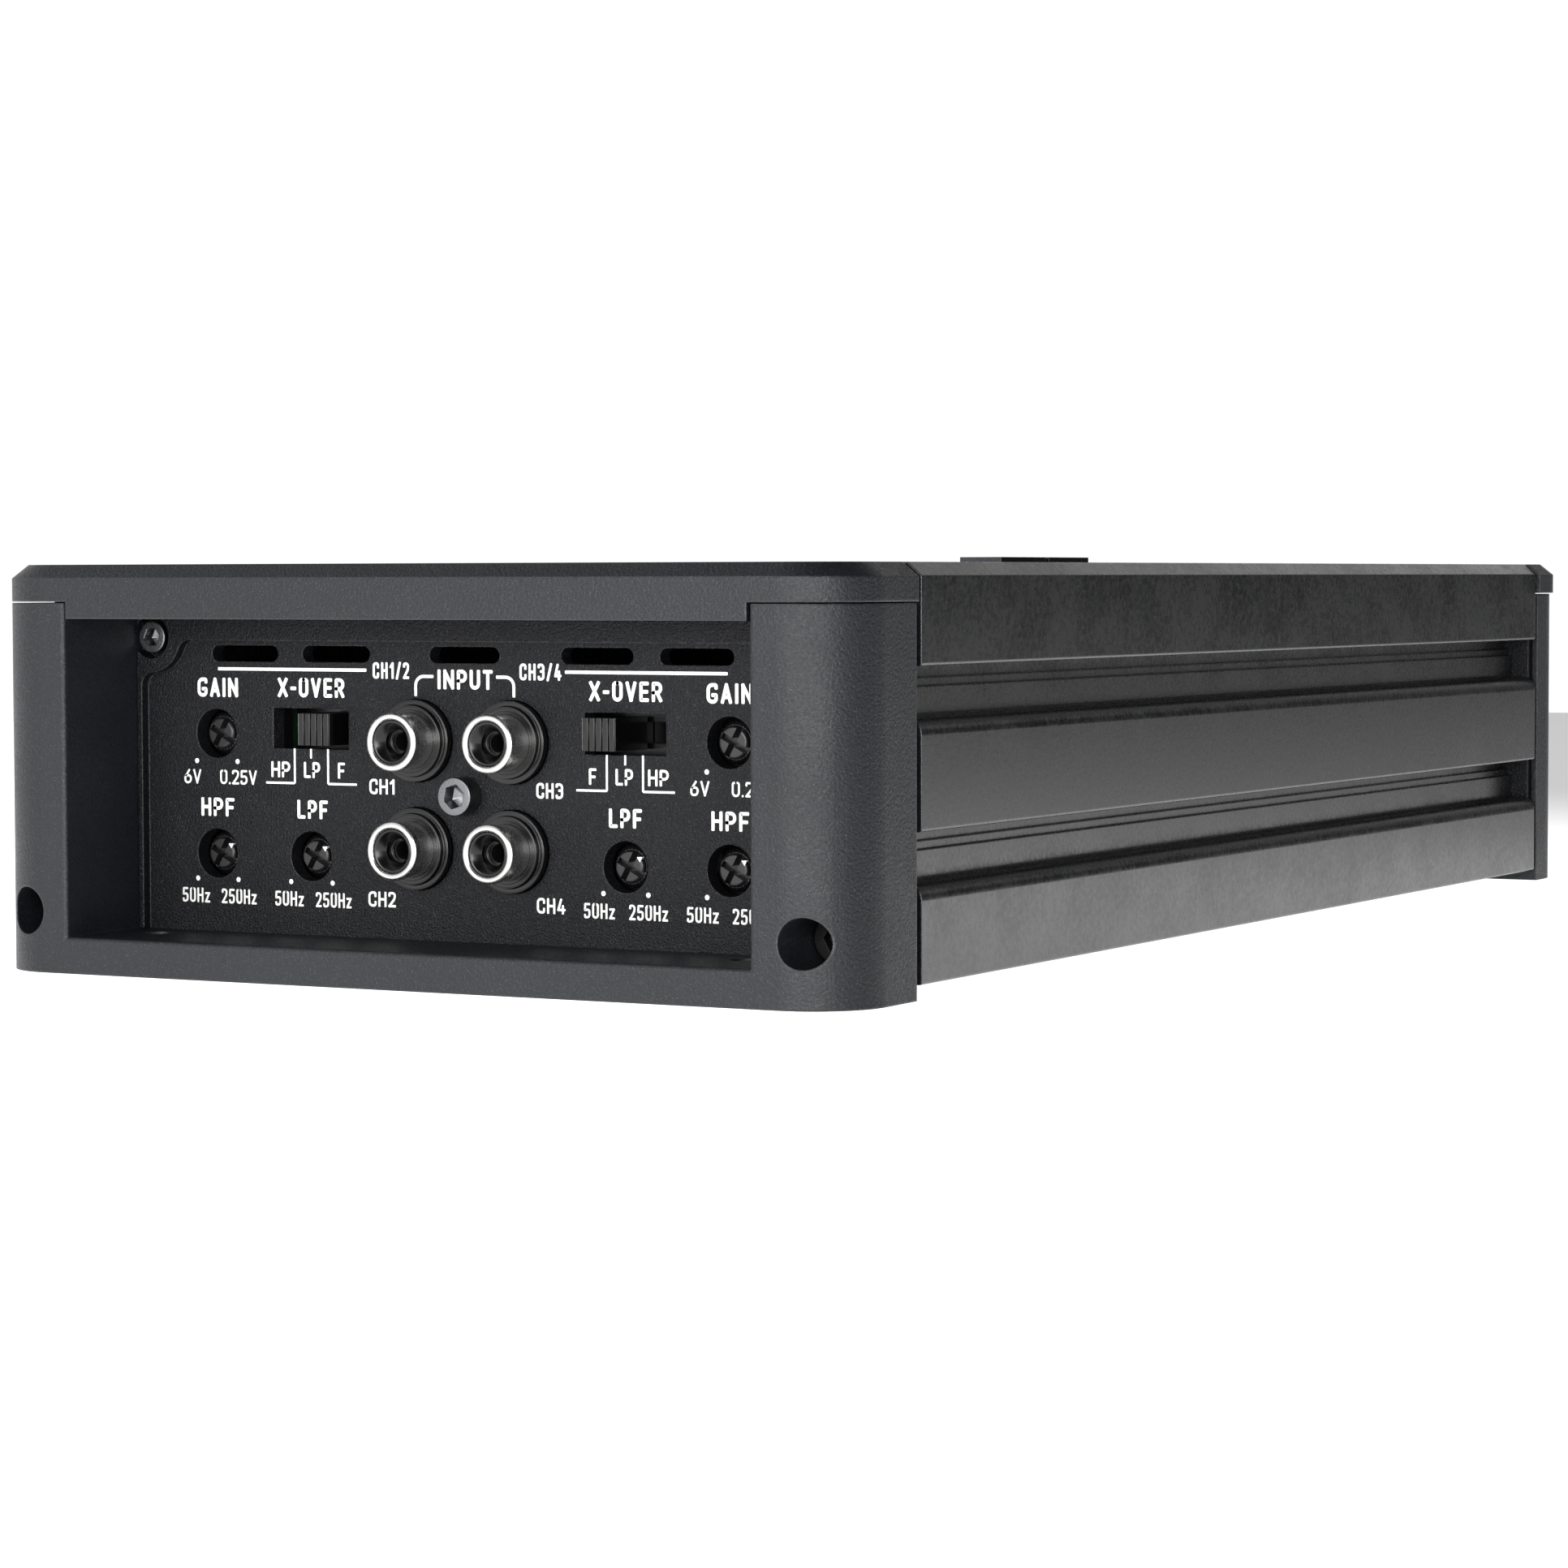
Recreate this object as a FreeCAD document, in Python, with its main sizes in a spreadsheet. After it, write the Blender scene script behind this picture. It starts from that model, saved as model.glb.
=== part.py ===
import FreeCAD, Part
import math
import os
import re
import Sketcher
from FreeCAD import Placement, Rotation, Vector

# Four-channel car amplifier: an extruded heatsink between two cast end frames.
# Millimetres. X runs across the width, Y from the input end to the terminal end,
# Z up. The origin is the middle of the footprint at the level of the feet.

# Driving dimensions: alias, value, what it sets.
DIMENSIONS = (
    ("overall_width", 141.5, "width over the end frames and the heatsink"),
    ("overall_length", 291.6, "length over both end frames"),
    ("overall_height", 58.75, "feet to the top of the heatsink and hoods"),
    ("drawn_width", 141.5, "width for which the columns below are given"),
    ("drawn_length", 291.6, "length for which the stations below are given"),
    ("drawn_height", 58.75, "height for which the rows below are given"),
    ("corner_radius", 10.5, "upright corners of the frames and hoods"),
    ("front_frame_depth", 19.7, "front post, front to back"),
    ("rear_frame_depth", 15.4, "rear post, front to back"),
    ("shadow_gap", 1.5, "gap between each frame and the heatsink's end"),
    ("post_width", 14.7, "post of an end frame, across"),
    ("bar_height", 5.3, "bottom bar of an end frame"),
    ("hood_height", 5.3, "hood above the posts"),
    ("seam_gap", 0.2, "gap between post and hood"),
    ("skirt_drop", 2.45, "how far the hood's skirt hangs between the posts"),
    ("skirt_gap", 0.35, "gap between skirt and post"),
    ("hood_overrun", 0.75, "hood reaches past the post towards the heatsink"),
    ("rear_hood_proud", 0.7, "rear hood stands proud of its posts at each side"),
    ("hood_chamfer_run", 2.4, "top chamfer of the hood, across"),
    ("hood_chamfer_rise", 1.95, "top chamfer of the hood, up"),
    ("dowel_d", 6.0, "hood dowels that plug into the posts"),
    ("dowel_length", 7.0, "hood dowel below the hood"),
    ("dowel_fit", 0.1, "radial clearance of a dowel in its socket"),
    ("frame_edge_radius", 0.6, "softened edges round a frame's opening"),
    ("frame_bore_inset", 7.1, "frame screw's axis from the side of the frame"),
    ("frame_bore_up", 8.85, "frame screw's axis above the feet"),
    ("frame_bore_fit", 0.2, "clearance round the frame screw's head"),
    ("frame_bore_floor", 5.0, "metal left behind the counterbore"),
    ("frame_screw_d", 4.0, "frame screw's shank"),
    ("frame_screw_head_d", 6.5, "frame screw's head"),
    ("frame_screw_head", 3.6, "height of the frame screw's head"),
    ("frame_screw_grip", 11.0, "frame screw's shank beyond the head"),
    ("mount_hole_d", 4.4, "upright mounting holes through the bottom bars"),
    ("mount_hole_column", 97.5, "mounting holes, centre to centre across"),
    ("front_hole_inset", 12.0, "front mounting holes from the front face"),
    ("rear_hole_inset", 8.0, "rear mounting holes from the rear face"),
    ("panel_thickness", 2.6, "end panel's plate"),
    ("panel_side_recess", 1.3, "panel's edge in from the heatsink's side"),
    ("panel_bottom", 2.4, "panel's lower edge above the feet"),
    ("panel_fit", 0.15, "clearance round a panel in its frame"),
    ("border_rise", 1.6, "raised border of a panel"),
    ("border_width", 0.95, "raised border beside the posts"),
    ("border_drop", 3.25, "raised border below the top of the opening"),
    ("corner_boss_r", 5.2, "raised boss round a panel screw"),
    ("corner_blend_r", 2.0, "inner curves between boss and border"),
    ("panel_screw_inset", 2.65, "panel screw from the post's inner face"),
    ("panel_screw_drop", 2.8, "panel screw below the top of the opening"),
    ("panel_screw_d", 2.5, "panel screw's shank"),
    ("panel_screw_head_d", 4.7, "panel screw's head"),
    ("panel_screw_head", 2.5, "height of the panel screw's head"),
    ("panel_screw_grip", 9.0, "panel screw's shank beyond the head"),
    ("panel_bore_fit", 0.8, "clearance round the panel screw's head"),
    ("panel_bore_depth", 2.7, "depth of that counterbore"),
    ("vent_length", 11.7, "vent slot, across"),
    ("vent_height", 2.35, "vent slot, up"),
    ("vent_drop", 1.9, "vent slots below the top of the panel's field"),
    ("vent_inner_column", 21.8, "inner vent slots from the middle"),
    ("vent_outer_column", 37.7, "outer vent slots from the middle"),
    ("sink_bottom", 2.0, "heatsink's lower edge above the feet"),
    ("sink_wall", 9.5, "heatsink's side wall"),
    ("sink_roof", 4.5, "heatsink's top plate"),
    ("screw_port", 3.6, "metal round a panel screw in the heatsink's corner"),
    ("sink_chamfer_run", 2.1, "heatsink's top chamfer, across"),
    ("sink_chamfer_rise", 1.85, "heatsink's top chamfer, up"),
    ("upper_lip_row", 44.8, "lower lip of the upper side band"),
    ("lower_lip_row", 22.55, "lower lip of the middle side band"),
    ("groove_height", 6.85, "side groove, up"),
    ("groove_depth", 6.0, "side groove at its deepest"),
    ("first_ledge_drop", 1.8, "first ledge in a groove below the lip"),
    ("first_ledge_depth", 5.2, "groove below the first ledge"),
    ("second_ledge_drop", 2.95, "second ledge in a groove below the lip"),
    ("second_ledge_depth", 4.4, "groove below the second ledge"),
    ("band_radius", 2.4, "rounded upper edge of the side bands"),
    ("lip_radius", 0.4, "crisp lower edge of the side bands"),
    ("top_groove_column", 44.0, "first top groove from the middle"),
    ("top_groove_pitch", 7.0, "from one top groove to the next"),
    ("top_groove_width", 3.0, "top groove, across"),
    ("top_groove_depth", 2.0, "top groove, down"),
    ("plate_thickness", 1.5, "steel bottom plate"),
    ("plate_seat_edge", 0.3, "ledge beyond the heads of the bottom plate screws"),
    ("plate_fit", 0.2, "clearance round the bottom plate"),
    ("plate_screw_d", 3.0, "bottom plate screws"),
    ("plate_screw_head_d", 5.4, "head of a bottom plate screw"),
    ("plate_screw_length", 8.0, "length of a bottom plate screw"),
    ("plate_screw_end", 22.0, "first and last plate screws from the plate's ends"),
    ("badge_width", 8.0, "blank badge plates, across"),
    ("badge_long", 18.3, "front badge plate, along"),
    ("badge_short", 16.9, "rear badge plate, along"),
    ("badge_thickness", 1.4, "badge plate's thickness"),
    ("badge_gap", 1.4, "gap between the badge plates"),
    ("badge_station", 185.2, "front edge of the badges from the front face"),
    ("rca_column", 7.95, "RCA jack from the middle"),
    ("rca_row_pitch", 15.37, "upper to lower RCA jack"),
    ("rca_middle_row", 26.0, "middle of the four jacks above the feet"),
    ("rca_shell_d", 8.3, "outside of the jack's metal shell"),
    ("rca_shell_wall", 0.7, "wall of the shell"),
    ("rca_proud", 7.0, "shell in front of the panel"),
    ("rca_shell_root", 3.0, "shell behind the panel's back"),
    ("rca_root_step", 0.2, "shell thinner where its collar holds it, in radius"),
    ("rca_shoulder", 0.4, "that step in front of the collar"),
    ("rca_collar_wall", 1.65, "plastic collar round a jack's shell"),
    ("rca_collar_proud", 1.2, "collar in front of the panel"),
    ("rca_ring_wall", 0.9, "inner step of the collar round the shell"),
    ("rca_ring_proud", 2.0, "inner step in front of the panel"),
    ("rca_fit", 0.15, "clearance round a collar in the panel"),
    ("rca_seat_fit", 0.05, "clearance between shell, insulator and contact"),
    ("rca_core_recess", 0.35, "insulator behind the shell's rim"),
    ("rca_mouth_depth", 1.3, "conical mouth of the insulator"),
    ("rca_mouth_edge", 0.4, "insulator's rim round its conical mouth"),
    ("rca_hole_d", 3.6, "pin hole of the insulator"),
    ("rca_contact_wall", 0.4, "wall of the centre contact"),
    ("rca_contact_recess", 3.0, "centre contact behind the insulator's front"),
    ("rca_block_margin", 1.4, "jack block beyond the collars"),
    ("rca_screw_d", 3.0, "screw in the middle of the jacks"),
    ("rca_screw_head_d", 5.5, "head of that screw"),
    ("rca_screw_head", 3.0, "height of that head"),
    ("rca_screw_grip", 8.0, "shank of that screw"),
    ("board_thickness", 1.6, "circuit boards"),
    ("control_board_setback", 9.8, "control board behind the front panel's back"),
    ("control_board_margin", 4.0, "control board in from the side walls"),
    ("control_board_bottom", 6.0, "control board's lower edge above the feet"),
    ("control_board_drop", 0.8, "control board below the screw ports"),
    ("pot_outer_column", 42.8, "gain and high-pass pots from the middle"),
    ("pot_inner_column", 26.27, "low-pass pots from the middle"),
    ("gain_row", 34.2, "gain pots above the feet"),
    ("filter_row", 16.7, "filter pots above the feet"),
    ("knob_clearance", 0.55, "panel hole round a knob"),
    ("knob_d", 6.1, "knob's diameter"),
    ("knob_recess", 0.9, "knob's face behind the panel"),
    ("knob_slot", 1.1, "width of the cross slot"),
    ("knob_slot_depth", 1.2, "depth of the cross slot"),
    ("knob_slot_reach", 4.6, "length of the cross slot"),
    ("knob_turn", -29.0, "angle of the cross slot at rest, in degrees"),
    ("pot_body", 9.6, "pot's square body"),
    ("pot_depth", 6.2, "pot's body, front to back"),
    ("pot_gap", 0.4, "gap between knob and pot body"),
    ("pot_shaft_d", 2.9, "knob's shaft"),
    ("pot_shaft_length", 4.0, "knob's shaft inside the pot"),
    ("pot_shaft_fit", 0.05, "radial running clearance of the shaft"),
    ("switch_column", 26.25, "crossover switch from the middle"),
    ("switch_row", 35.1, "crossover switches above the feet"),
    ("switch_pitch", 2.5, "from one switch position to the next"),
    ("window_side", 1.4, "switch window beyond the slider's travel"),
    ("window_edge", 0.625, "switch window above and below the slider"),
    ("slider_width", 5.3, "slider, across"),
    ("slider_height", 4.6, "slider, up"),
    ("slider_proud", 3.0, "slider in front of the panel"),
    ("switch_body_side", 0.55, "switch's body beyond its window, at each side"),
    ("switch_body_edge", 0.775, "switch's body beyond its window, above and below"),
    ("switch_body_depth", 5.6, "switch's body, front to back"),
    ("switch_gap", 0.4, "gap between slider and switch body"),
    ("stem_size", 2.6, "slider's stem inside the switch"),
    ("stem_depth", 3.0, "stem inside the switch"),
    ("stem_fit", 0.2, "clearance of the stem in its track"),
    ("main_board_up", 8.0, "main board's underside above the feet"),
    ("main_board_margin", 1.5, "main board in from the side walls"),
    ("main_board_front", 14.5, "main board behind the front panel's back"),
    ("main_board_rear", 14.0, "main board in front of the rear panel's back"),
    ("standoff_d", 6.0, "board standoffs"),
    ("standoff_inset", 9.0, "standoffs in from the board's edges"),
    ("board_screw_d", 3.0, "board screws"),
    ("board_screw_head_d", 5.5, "head of a board screw"),
    ("board_screw_head", 2.0, "height of that head"),
    ("transformer_d", 44.0, "toroidal transformer, outside"),
    ("transformer_height", 20.0, "toroidal transformer, up"),
    ("transformer_hole_d", 16.0, "toroidal transformer's hole"),
    ("transformer_station", 125.0, "transformer's axis from the front face"),
    ("winding_wall", 2.4, "winding round a toroid's core"),
    ("choke_d", 26.0, "input choke, outside"),
    ("choke_hole_d", 10.0, "input choke's hole"),
    ("choke_height", 14.0, "input choke, up"),
    ("choke_across", 28.0, "input choke from the middle"),
    ("choke_station", 228.0, "choke's axis from the front face"),
    ("inductor_d", 18.0, "output inductors"),
    ("inductor_hole_d", 7.0, "hole of an output inductor"),
    ("inductor_height", 9.0, "output inductor, up"),
    ("inductor_pitch", 23.0, "from one inductor to the next"),
    ("inductor_station", 62.0, "inductors from the front face"),
    ("capacitor_d", 18.0, "filter capacitors"),
    ("capacitor_height", 32.0, "filter capacitors, up"),
    ("capacitor_pitch", 20.0, "from one capacitor to the next"),
    ("capacitor_station", 175.0, "first row of capacitors from the front face"),
    ("transistor_thickness", 4.6, "power transistor, wall to face"),
    ("transistor_width", 10.2, "power transistor, along"),
    ("transistor_height", 15.5, "power transistor, up"),
    ("transistor_row", 22.0, "power transistor above the feet"),
    ("transistor_spacing", 30.0, "from one transistor to the next"),
    ("transistor_station", 78.0, "first transistor from the front face"),
    ("lead_size", 0.8, "transistor lead"),
    ("lead_pitch", 2.54, "from one lead to the next"),
    ("pad_thickness", 0.3, "thermal pad between transistor and wall"),
    ("clamp_thickness", 3.0, "clamp bar over the transistors"),
    ("clamp_height", 10.0, "clamp bar, up"),
    ("clamp_screw_d", 3.0, "clamp screws"),
    ("clamp_screw_head_d", 5.5, "head of a clamp screw"),
    ("clamp_screw_head", 2.6, "height of that head"),
    ("clamp_screw_bite", 5.0, "clamp screw in the side wall"),
    ("terminal_proud", 11.0, "terminal blocks beyond the rear panel"),
    ("terminal_root", 9.0, "terminal blocks inside the rear panel"),
    ("terminal_up", 11.0, "terminal blocks above the feet"),
    ("terminal_fit", 0.2, "clearance round a block in the rear panel"),
    ("power_pitch", 11.5, "from one power terminal to the next"),
    ("power_column", 33.0, "middle of the power terminals from the middle"),
    ("power_height", 21.0, "power block, up"),
    ("power_bore_d", 7.6, "wire hole of a power terminal"),
    ("power_bore_up", 8.0, "that hole above the block's underside"),
    ("power_screw_d", 6.0, "power terminal's set screw"),
    ("speaker_pitch", 7.4, "from one speaker terminal to the next"),
    ("speaker_column", 21.0, "middle of the speaker terminals from the middle"),
    ("speaker_height", 14.0, "speaker block, up"),
    ("speaker_bore_d", 4.6, "wire hole of a speaker terminal"),
    ("speaker_bore_up", 5.4, "that hole above the block's underside"),
    ("speaker_screw_d", 3.6, "speaker terminal's set screw"),
    ("block_wall", 3.2, "block beyond its outer wire holes"),
    ("set_screw_back", 5.0, "set screws from the block's face"),
    ("set_screw_sunk", 0.6, "set screw below the block's top"),
    ("set_screw_length", 5.0, "set screw's length"),
    ("set_screw_fit", 0.1, "radial clearance round a set screw"),
    ("fuse_width", 19.0, "blade fuse, across"),
    ("fuse_height", 5.1, "blade fuse, up"),
    ("fuse_depth", 12.0, "blade fuse's body, front to back"),
    ("fuse_pitch", 23.5, "from one fuse to the next"),
    ("fuse_column", 21.0, "middle of the fuses from the middle"),
    ("fuse_row", 37.0, "fuses above the feet"),
    ("fuse_sunk", 6.0, "fuse's body inside its holder"),
    ("fuse_fit", 0.15, "clearance round a fuse in its holder"),
    ("blade_width", 5.0, "fuse blade, across"),
    ("blade_thickness", 0.7, "fuse blade, up"),
    ("blade_length", 6.0, "fuse blade beyond the body"),
    ("blade_spread", 13.0, "fuse blades, centre to centre"),
    ("blade_fit", 0.15, "clearance round a blade"),
    ("holder_proud", 5.0, "fuse holder beyond the rear panel"),
    ("holder_wall", 2.2, "fuse holder's wall"),
    ("led_d", 3.0, "indicator lamps"),
    ("led_proud", 1.2, "lamp beyond the rear panel"),
    ("led_column", 33.0, "middle of the lamps from the middle"),
    ("led_pitch", 9.0, "from one lamp to the other"),
    ("led_row", 43.0, "lamps above the feet"),
    ("led_length", 6.0, "lamp's body, front to back"),
)

# Places worked out from the driving dimensions.
PLACES = {
    "rise": "overall_height / drawn_height",
    "spread": "overall_width / drawn_width",
    "stretch": "overall_length / drawn_length",
    "half_width": "overall_width / 2",
    "post_inner": "half_width - post_width",
    "post_top": "overall_height - hood_height - seam_gap",
    "hood_bottom": "overall_height - hood_height",
    "skirt_bottom": "hood_bottom - skirt_drop",
    "frame_bore_across": "half_width - frame_bore_inset",
    "mount_across": "mount_hole_across / 2",
    "sink_start": "front_frame_depth + shadow_gap",
    "sink_end": "overall_length - rear_frame_depth - shadow_gap",
    "sink_length": "sink_end - sink_start",
    "front_face": "sink_start - panel_thickness",
    "rear_face": "sink_end + panel_thickness",
    "panel_half": "half_width - panel_side_recess",
    "panel_top": "hood_bottom - panel_fit",
    "border_half": "post_inner - panel_fit",
    "border_top": "skirt_bottom - panel_fit",
    "field_half": "post_inner - border_width",
    "field_top": "skirt_bottom - border_drop",
    "panel_screw_across": "post_inner - panel_screw_inset",
    "panel_screw_top": "skirt_bottom - panel_screw_drop",
    "wall_inner": "half_width - sink_wall",
    "roof_inner": "overall_height - sink_roof",
    "plate_half": "wall_inner + plate_seat - plate_fit",
    "plate_screw_across": "wall_inner + plate_seat / 2",
    "plate_top": "sink_bottom + plate_thickness",
    "control_face": "sink_start + control_board_setback",
    "gain_up": "gain_row * rise",
    "filter_up": "filter_row * rise",
    "rca_middle_up": "rca_middle_row * rise",
    "rca_pitch": "rca_row_pitch * rise",
    "switch_up": "switch_row * rise",
    "upper_lip_up": "upper_lip_row * rise",
    "lower_lip_up": "lower_lip_row * rise",
    "fuse_up": "fuse_row * rise",
    "led_up": "led_row * rise",
    "transistor_up": "transistor_row * rise",
    "rca_across": "rca_column * spread",
    "pot_across_outer": "pot_outer_column * spread",
    "pot_across_inner": "pot_inner_column * spread",
    "switch_across": "switch_column * spread",
    "vent_inner_across": "vent_inner_column * spread",
    "vent_outer_across": "vent_outer_column * spread",
    "mount_hole_across": "mount_hole_column * spread",
    "power_across": "power_column * spread",
    "speaker_across": "speaker_column * spread",
    "fuse_across": "fuse_column * spread",
    "led_across": "led_column * spread",
    "top_groove_across": "top_groove_column * spread",
    "transformer_along": "transformer_station * stretch",
    "choke_along": "choke_station * stretch",
    "inductor_along": "inductor_station * stretch",
    "capacitor_along": "capacitor_station * stretch",
    "transistor_along": "transistor_station * stretch",
    "badge_start": "badge_station * stretch",
    "transistor_pitch": "transistor_spacing * stretch",
    "vent_up": "field_top - vent_drop",
    "control_board_top": "panel_screw_top - screw_port - control_board_drop",
    "pot_hole_d": "knob_d + 2 * knob_clearance",
    "window_width": "slider_width + 2 * switch_pitch + 2 * window_side",
    "window_height": "slider_height + 2 * window_edge",
    "switch_body_width": "window_width + 2 * switch_body_side",
    "switch_body_height": "window_height + 2 * switch_body_edge",
    "frame_bore_d": "frame_screw_head_d + 2 * frame_bore_fit",
    "panel_bore_d": "panel_screw_head_d + 2 * panel_bore_fit",
    "rca_root_d": "rca_shell_d - 2 * rca_root_step",
    "rca_collar_d": "rca_shell_d + 2 * rca_collar_wall",
    "rca_ring_d": "rca_shell_d + 2 * rca_ring_wall",
    "rca_mouth_d": "rca_core_d - 2 * rca_mouth_edge",
    "plate_seat": "plate_screw_head_d + 2 * plate_seat_edge",
    "rca_front": "front_face - rca_proud",
    "rca_upper_up": "rca_middle_up + rca_pitch / 2",
    "rca_lower_up": "rca_middle_up - rca_pitch / 2",
    "rca_core_d": "rca_shell_d - 2 * rca_shell_wall - 2 * rca_seat_fit",
    "rca_block_half": "rca_across + rca_collar_d / 2 + rca_block_margin",
    "board_top": "main_board_up + board_thickness",
    "board_half": "wall_inner - main_board_margin",
    "board_front": "sink_start + main_board_front",
    "board_rear": "sink_end - main_board_rear",
    "transistor_face": "wall_inner - pad_thickness - transistor_thickness",
    "clamp_up": "transistor_up + transistor_height / 2",
    "pot_face": "control_face - pot_depth",
    "switch_face": "control_face - switch_body_depth",
    "holder_face": "rear_face + holder_proud",
    "fuse_back": "holder_face - fuse_sunk",
    "terminal_face": "rear_face + terminal_proud",
    "terminal_back": "rear_face - panel_thickness - terminal_root",
    "power_half": "power_pitch + power_bore_d / 2 + block_wall",
    "speaker_half": "3.5 * speaker_pitch + speaker_bore_d / 2 + block_wall",
    "holder_half": "fuse_pitch / 2 + fuse_width / 2 + holder_wall",
}

ALONG_Y = Rotation(Vector(1, 0, 0), -90)
ALONG_X = Rotation(Vector(0, 1, 0), 90)
UPRIGHT = Rotation()
SIDES = (("left", -1), ("right", 1))

doc = FreeCAD.newDocument("CarAmplifier")
sheet = doc.addObject("Spreadsheet::Sheet", "sizes")
for row, (alias, size, note) in enumerate(DIMENSIONS, start=1):
    sheet.set("A%d" % row, note)
    sheet.set("B%d" % row, str(size))
    sheet.setAlias("B%d" % row, alias)
doc.recompute()
ALIASES = {alias for alias, size, note in DIMENSIONS}


def formula(text):
    """Write a formula on the sheet's aliases as an expression of the document."""

    def spell(match):
        word = match.group(0)
        if word in PLACES:
            return "(" + formula(PLACES[word]) + ")"
        return "sizes." + word if word in ALIASES else word

    return re.sub(r"[a-z_]+", spell, str(text))


def number(text):
    """Work out a formula, as a plain number of millimetres."""
    result = sheet.evalExpression(formula(text))
    return float(getattr(result, "Value", result))


def bind(thing, name, text):
    """Tie a property of an object to a formula."""
    thing.setExpression(name, formula(text))


def place(thing, at, turn=UPRIGHT):
    """Turn an object and tie its place to three formulas."""
    thing.Placement = Placement(Vector(), turn)
    for axis, text in zip("xyz", at):
        bind(thing, "Placement.Base." + axis, text)
    return thing


# Part primitives and booleans


def box(name, middle, size):
    """Block with its middle in X, its front in Y and its underside in Z at a place."""
    block = doc.addObject("Part::Box", name)
    for side, text in zip(("Length", "Width", "Height"), size):
        bind(block, side, text)
    across, along, up = middle
    return place(block, ("%s - (%s) / 2" % (across, size[0]), along, up))


def cylinder(name, at, diameter, length, turn=ALONG_Y):
    """Round bar that starts at a place and runs along +Y unless it is turned."""
    bar = doc.addObject("Part::Cylinder", name)
    bind(bar, "Radius", "(%s) / 2" % diameter)
    bind(bar, "Height", length)
    return place(bar, at, turn)


def cone(name, at, first, last, length, turn=ALONG_Y):
    """Tapered bar from the first diameter to the last."""
    bar = doc.addObject("Part::Cone", name)
    bind(bar, "Radius1", "(%s) / 2" % first)
    bind(bar, "Radius2", "(%s) / 2" % last)
    bind(bar, "Height", length)
    return place(bar, at, turn)


def hexagon(name, at, across_corners, depth, turn=ALONG_Y):
    """Six-sided prism, for a hex socket."""
    prism = doc.addObject("Part::Prism", name)
    prism.Polygon = 6
    bind(prism, "Circumradius", "(%s) / 2" % across_corners)
    bind(prism, "Height", depth)
    return place(prism, at, turn)


def fuse(name, pieces):
    """One solid from overlapping pieces."""
    whole = doc.addObject("Part::MultiFuse", name)
    whole.Shapes = pieces
    whole.Refine = True
    return whole


def group(name, pieces):
    """Several separate solids that share a node."""
    several = doc.addObject("Part::Compound", name)
    several.Links = pieces
    return several


def cut(name, base, tools):
    """Take the tools out of the base."""
    rest = doc.addObject("Part::Cut", name)
    rest.Base = base
    rest.Tool = tools[0] if len(tools) == 1 else fuse(name + "_tools", tools)
    return rest


def cap_screw(name, at, turn, shank_d, shank, head_d, head):
    """Hex socket cap screw: the place is under the head, the shank runs forwards."""
    across, along, up = at
    axis = turn.multVec(Vector(0, 0, 1))

    def shifted(amount):
        """The place moved along the screw's axis."""
        return tuple(
            "%s + %d * (%s)" % (text, round(part), amount)
            for text, part in zip((across, along, up), axis)
        )

    top = "0 - (%s)" % head
    solid = fuse(name + "_solid", [
        cylinder(name + "_head", shifted(top), head_d, head, turn),
        cylinder(name + "_shank", shifted("0 - 0.5 * (%s)" % head), shank_d,
                 "%s + 0.5 * (%s)" % (shank, head), turn),
    ])
    socket = hexagon(name + "_socket", shifted(top), "0.58 * (%s)" % head_d,
                     "0.5 * (%s)" % head, turn)
    return cut(name, solid, [socket])


# PartDesign bodies


def sketch_on(body, name, role, offset):
    """Sketch on one of the body's own planes, moved along the plane's normal."""
    plane = next(item for item in body.Origin.OriginFeatures if item.Role == role)
    sketch = body.newObject("Sketcher::SketchObject", name)
    sketch.AttachmentSupport = [(plane, "")]
    sketch.MapMode = "FlatFace"
    bind(sketch, "AttachmentOffset.Base.z", offset)
    return sketch


def pin(sketch, shape, vertex, across, up):
    """Tie a point of the sketch to two formulas."""
    for kind, text in (("DistanceX", across), ("DistanceY", up)):
        rule = Sketcher.Constraint(kind, -1, 1, shape, vertex, number(text))
        bind(sketch, "Constraints[%d]" % sketch.addConstraint(rule), text)


def outline(sketch, corners):
    """Closed outline of straight lines through the corners."""
    points = [Vector(number(across), number(up), 0) for across, up in corners]
    first = sketch.GeometryCount
    for start, end in zip(points, points[1:] + points[:1]):
        sketch.addGeometry(Part.LineSegment(start, end), False)
    for index, (across, up) in enumerate(corners):
        following = first + (index + 1) % len(corners)
        sketch.addConstraint(Sketcher.Constraint("Coincident", first + index, 2, following, 1))
        pin(sketch, first + index, 1, across, up)


def rectangle(sketch, left, right, bottom, top):
    """Closed rectangle between four formulas."""
    outline(sketch, [(left, bottom), (right, bottom), (right, top), (left, top)])


def circle(sketch, across, up, diameter):
    """Circle tied to its centre and diameter."""
    middle = Vector(number(across), number(up), 0)
    ring = Part.Circle(middle, Vector(0, 0, 1), number(diameter) / 2)
    shape = sketch.addGeometry(ring, False)
    pin(sketch, shape, 3, across, up)
    rule = sketch.addConstraint(Sketcher.Constraint("Diameter", shape, number(diameter)))
    bind(sketch, "Constraints[%d]" % rule, diameter)


def raise_from(body, name, sketch, length, backwards=False):
    """Pad a sketch along its normal, or against it."""
    feature = body.newObject("PartDesign::Pad", name)
    feature.Profile = sketch
    bind(feature, "Length", length)
    feature.Reversed = backwards
    doc.recompute()
    return feature


def sink_into(body, name, sketch, length, backwards=False):
    """Pocket a sketch against its normal, or along it, and make sure that it cuts."""
    before = body.Shape.Volume
    feature = body.newObject("PartDesign::Pocket", name)
    feature.Profile = sketch
    bind(feature, "Length", length)
    feature.Reversed = backwards
    doc.recompute()
    if body.Shape.Volume > before - 1e-3:
        raise RuntimeError(name + " cuts nothing")
    return feature


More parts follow.
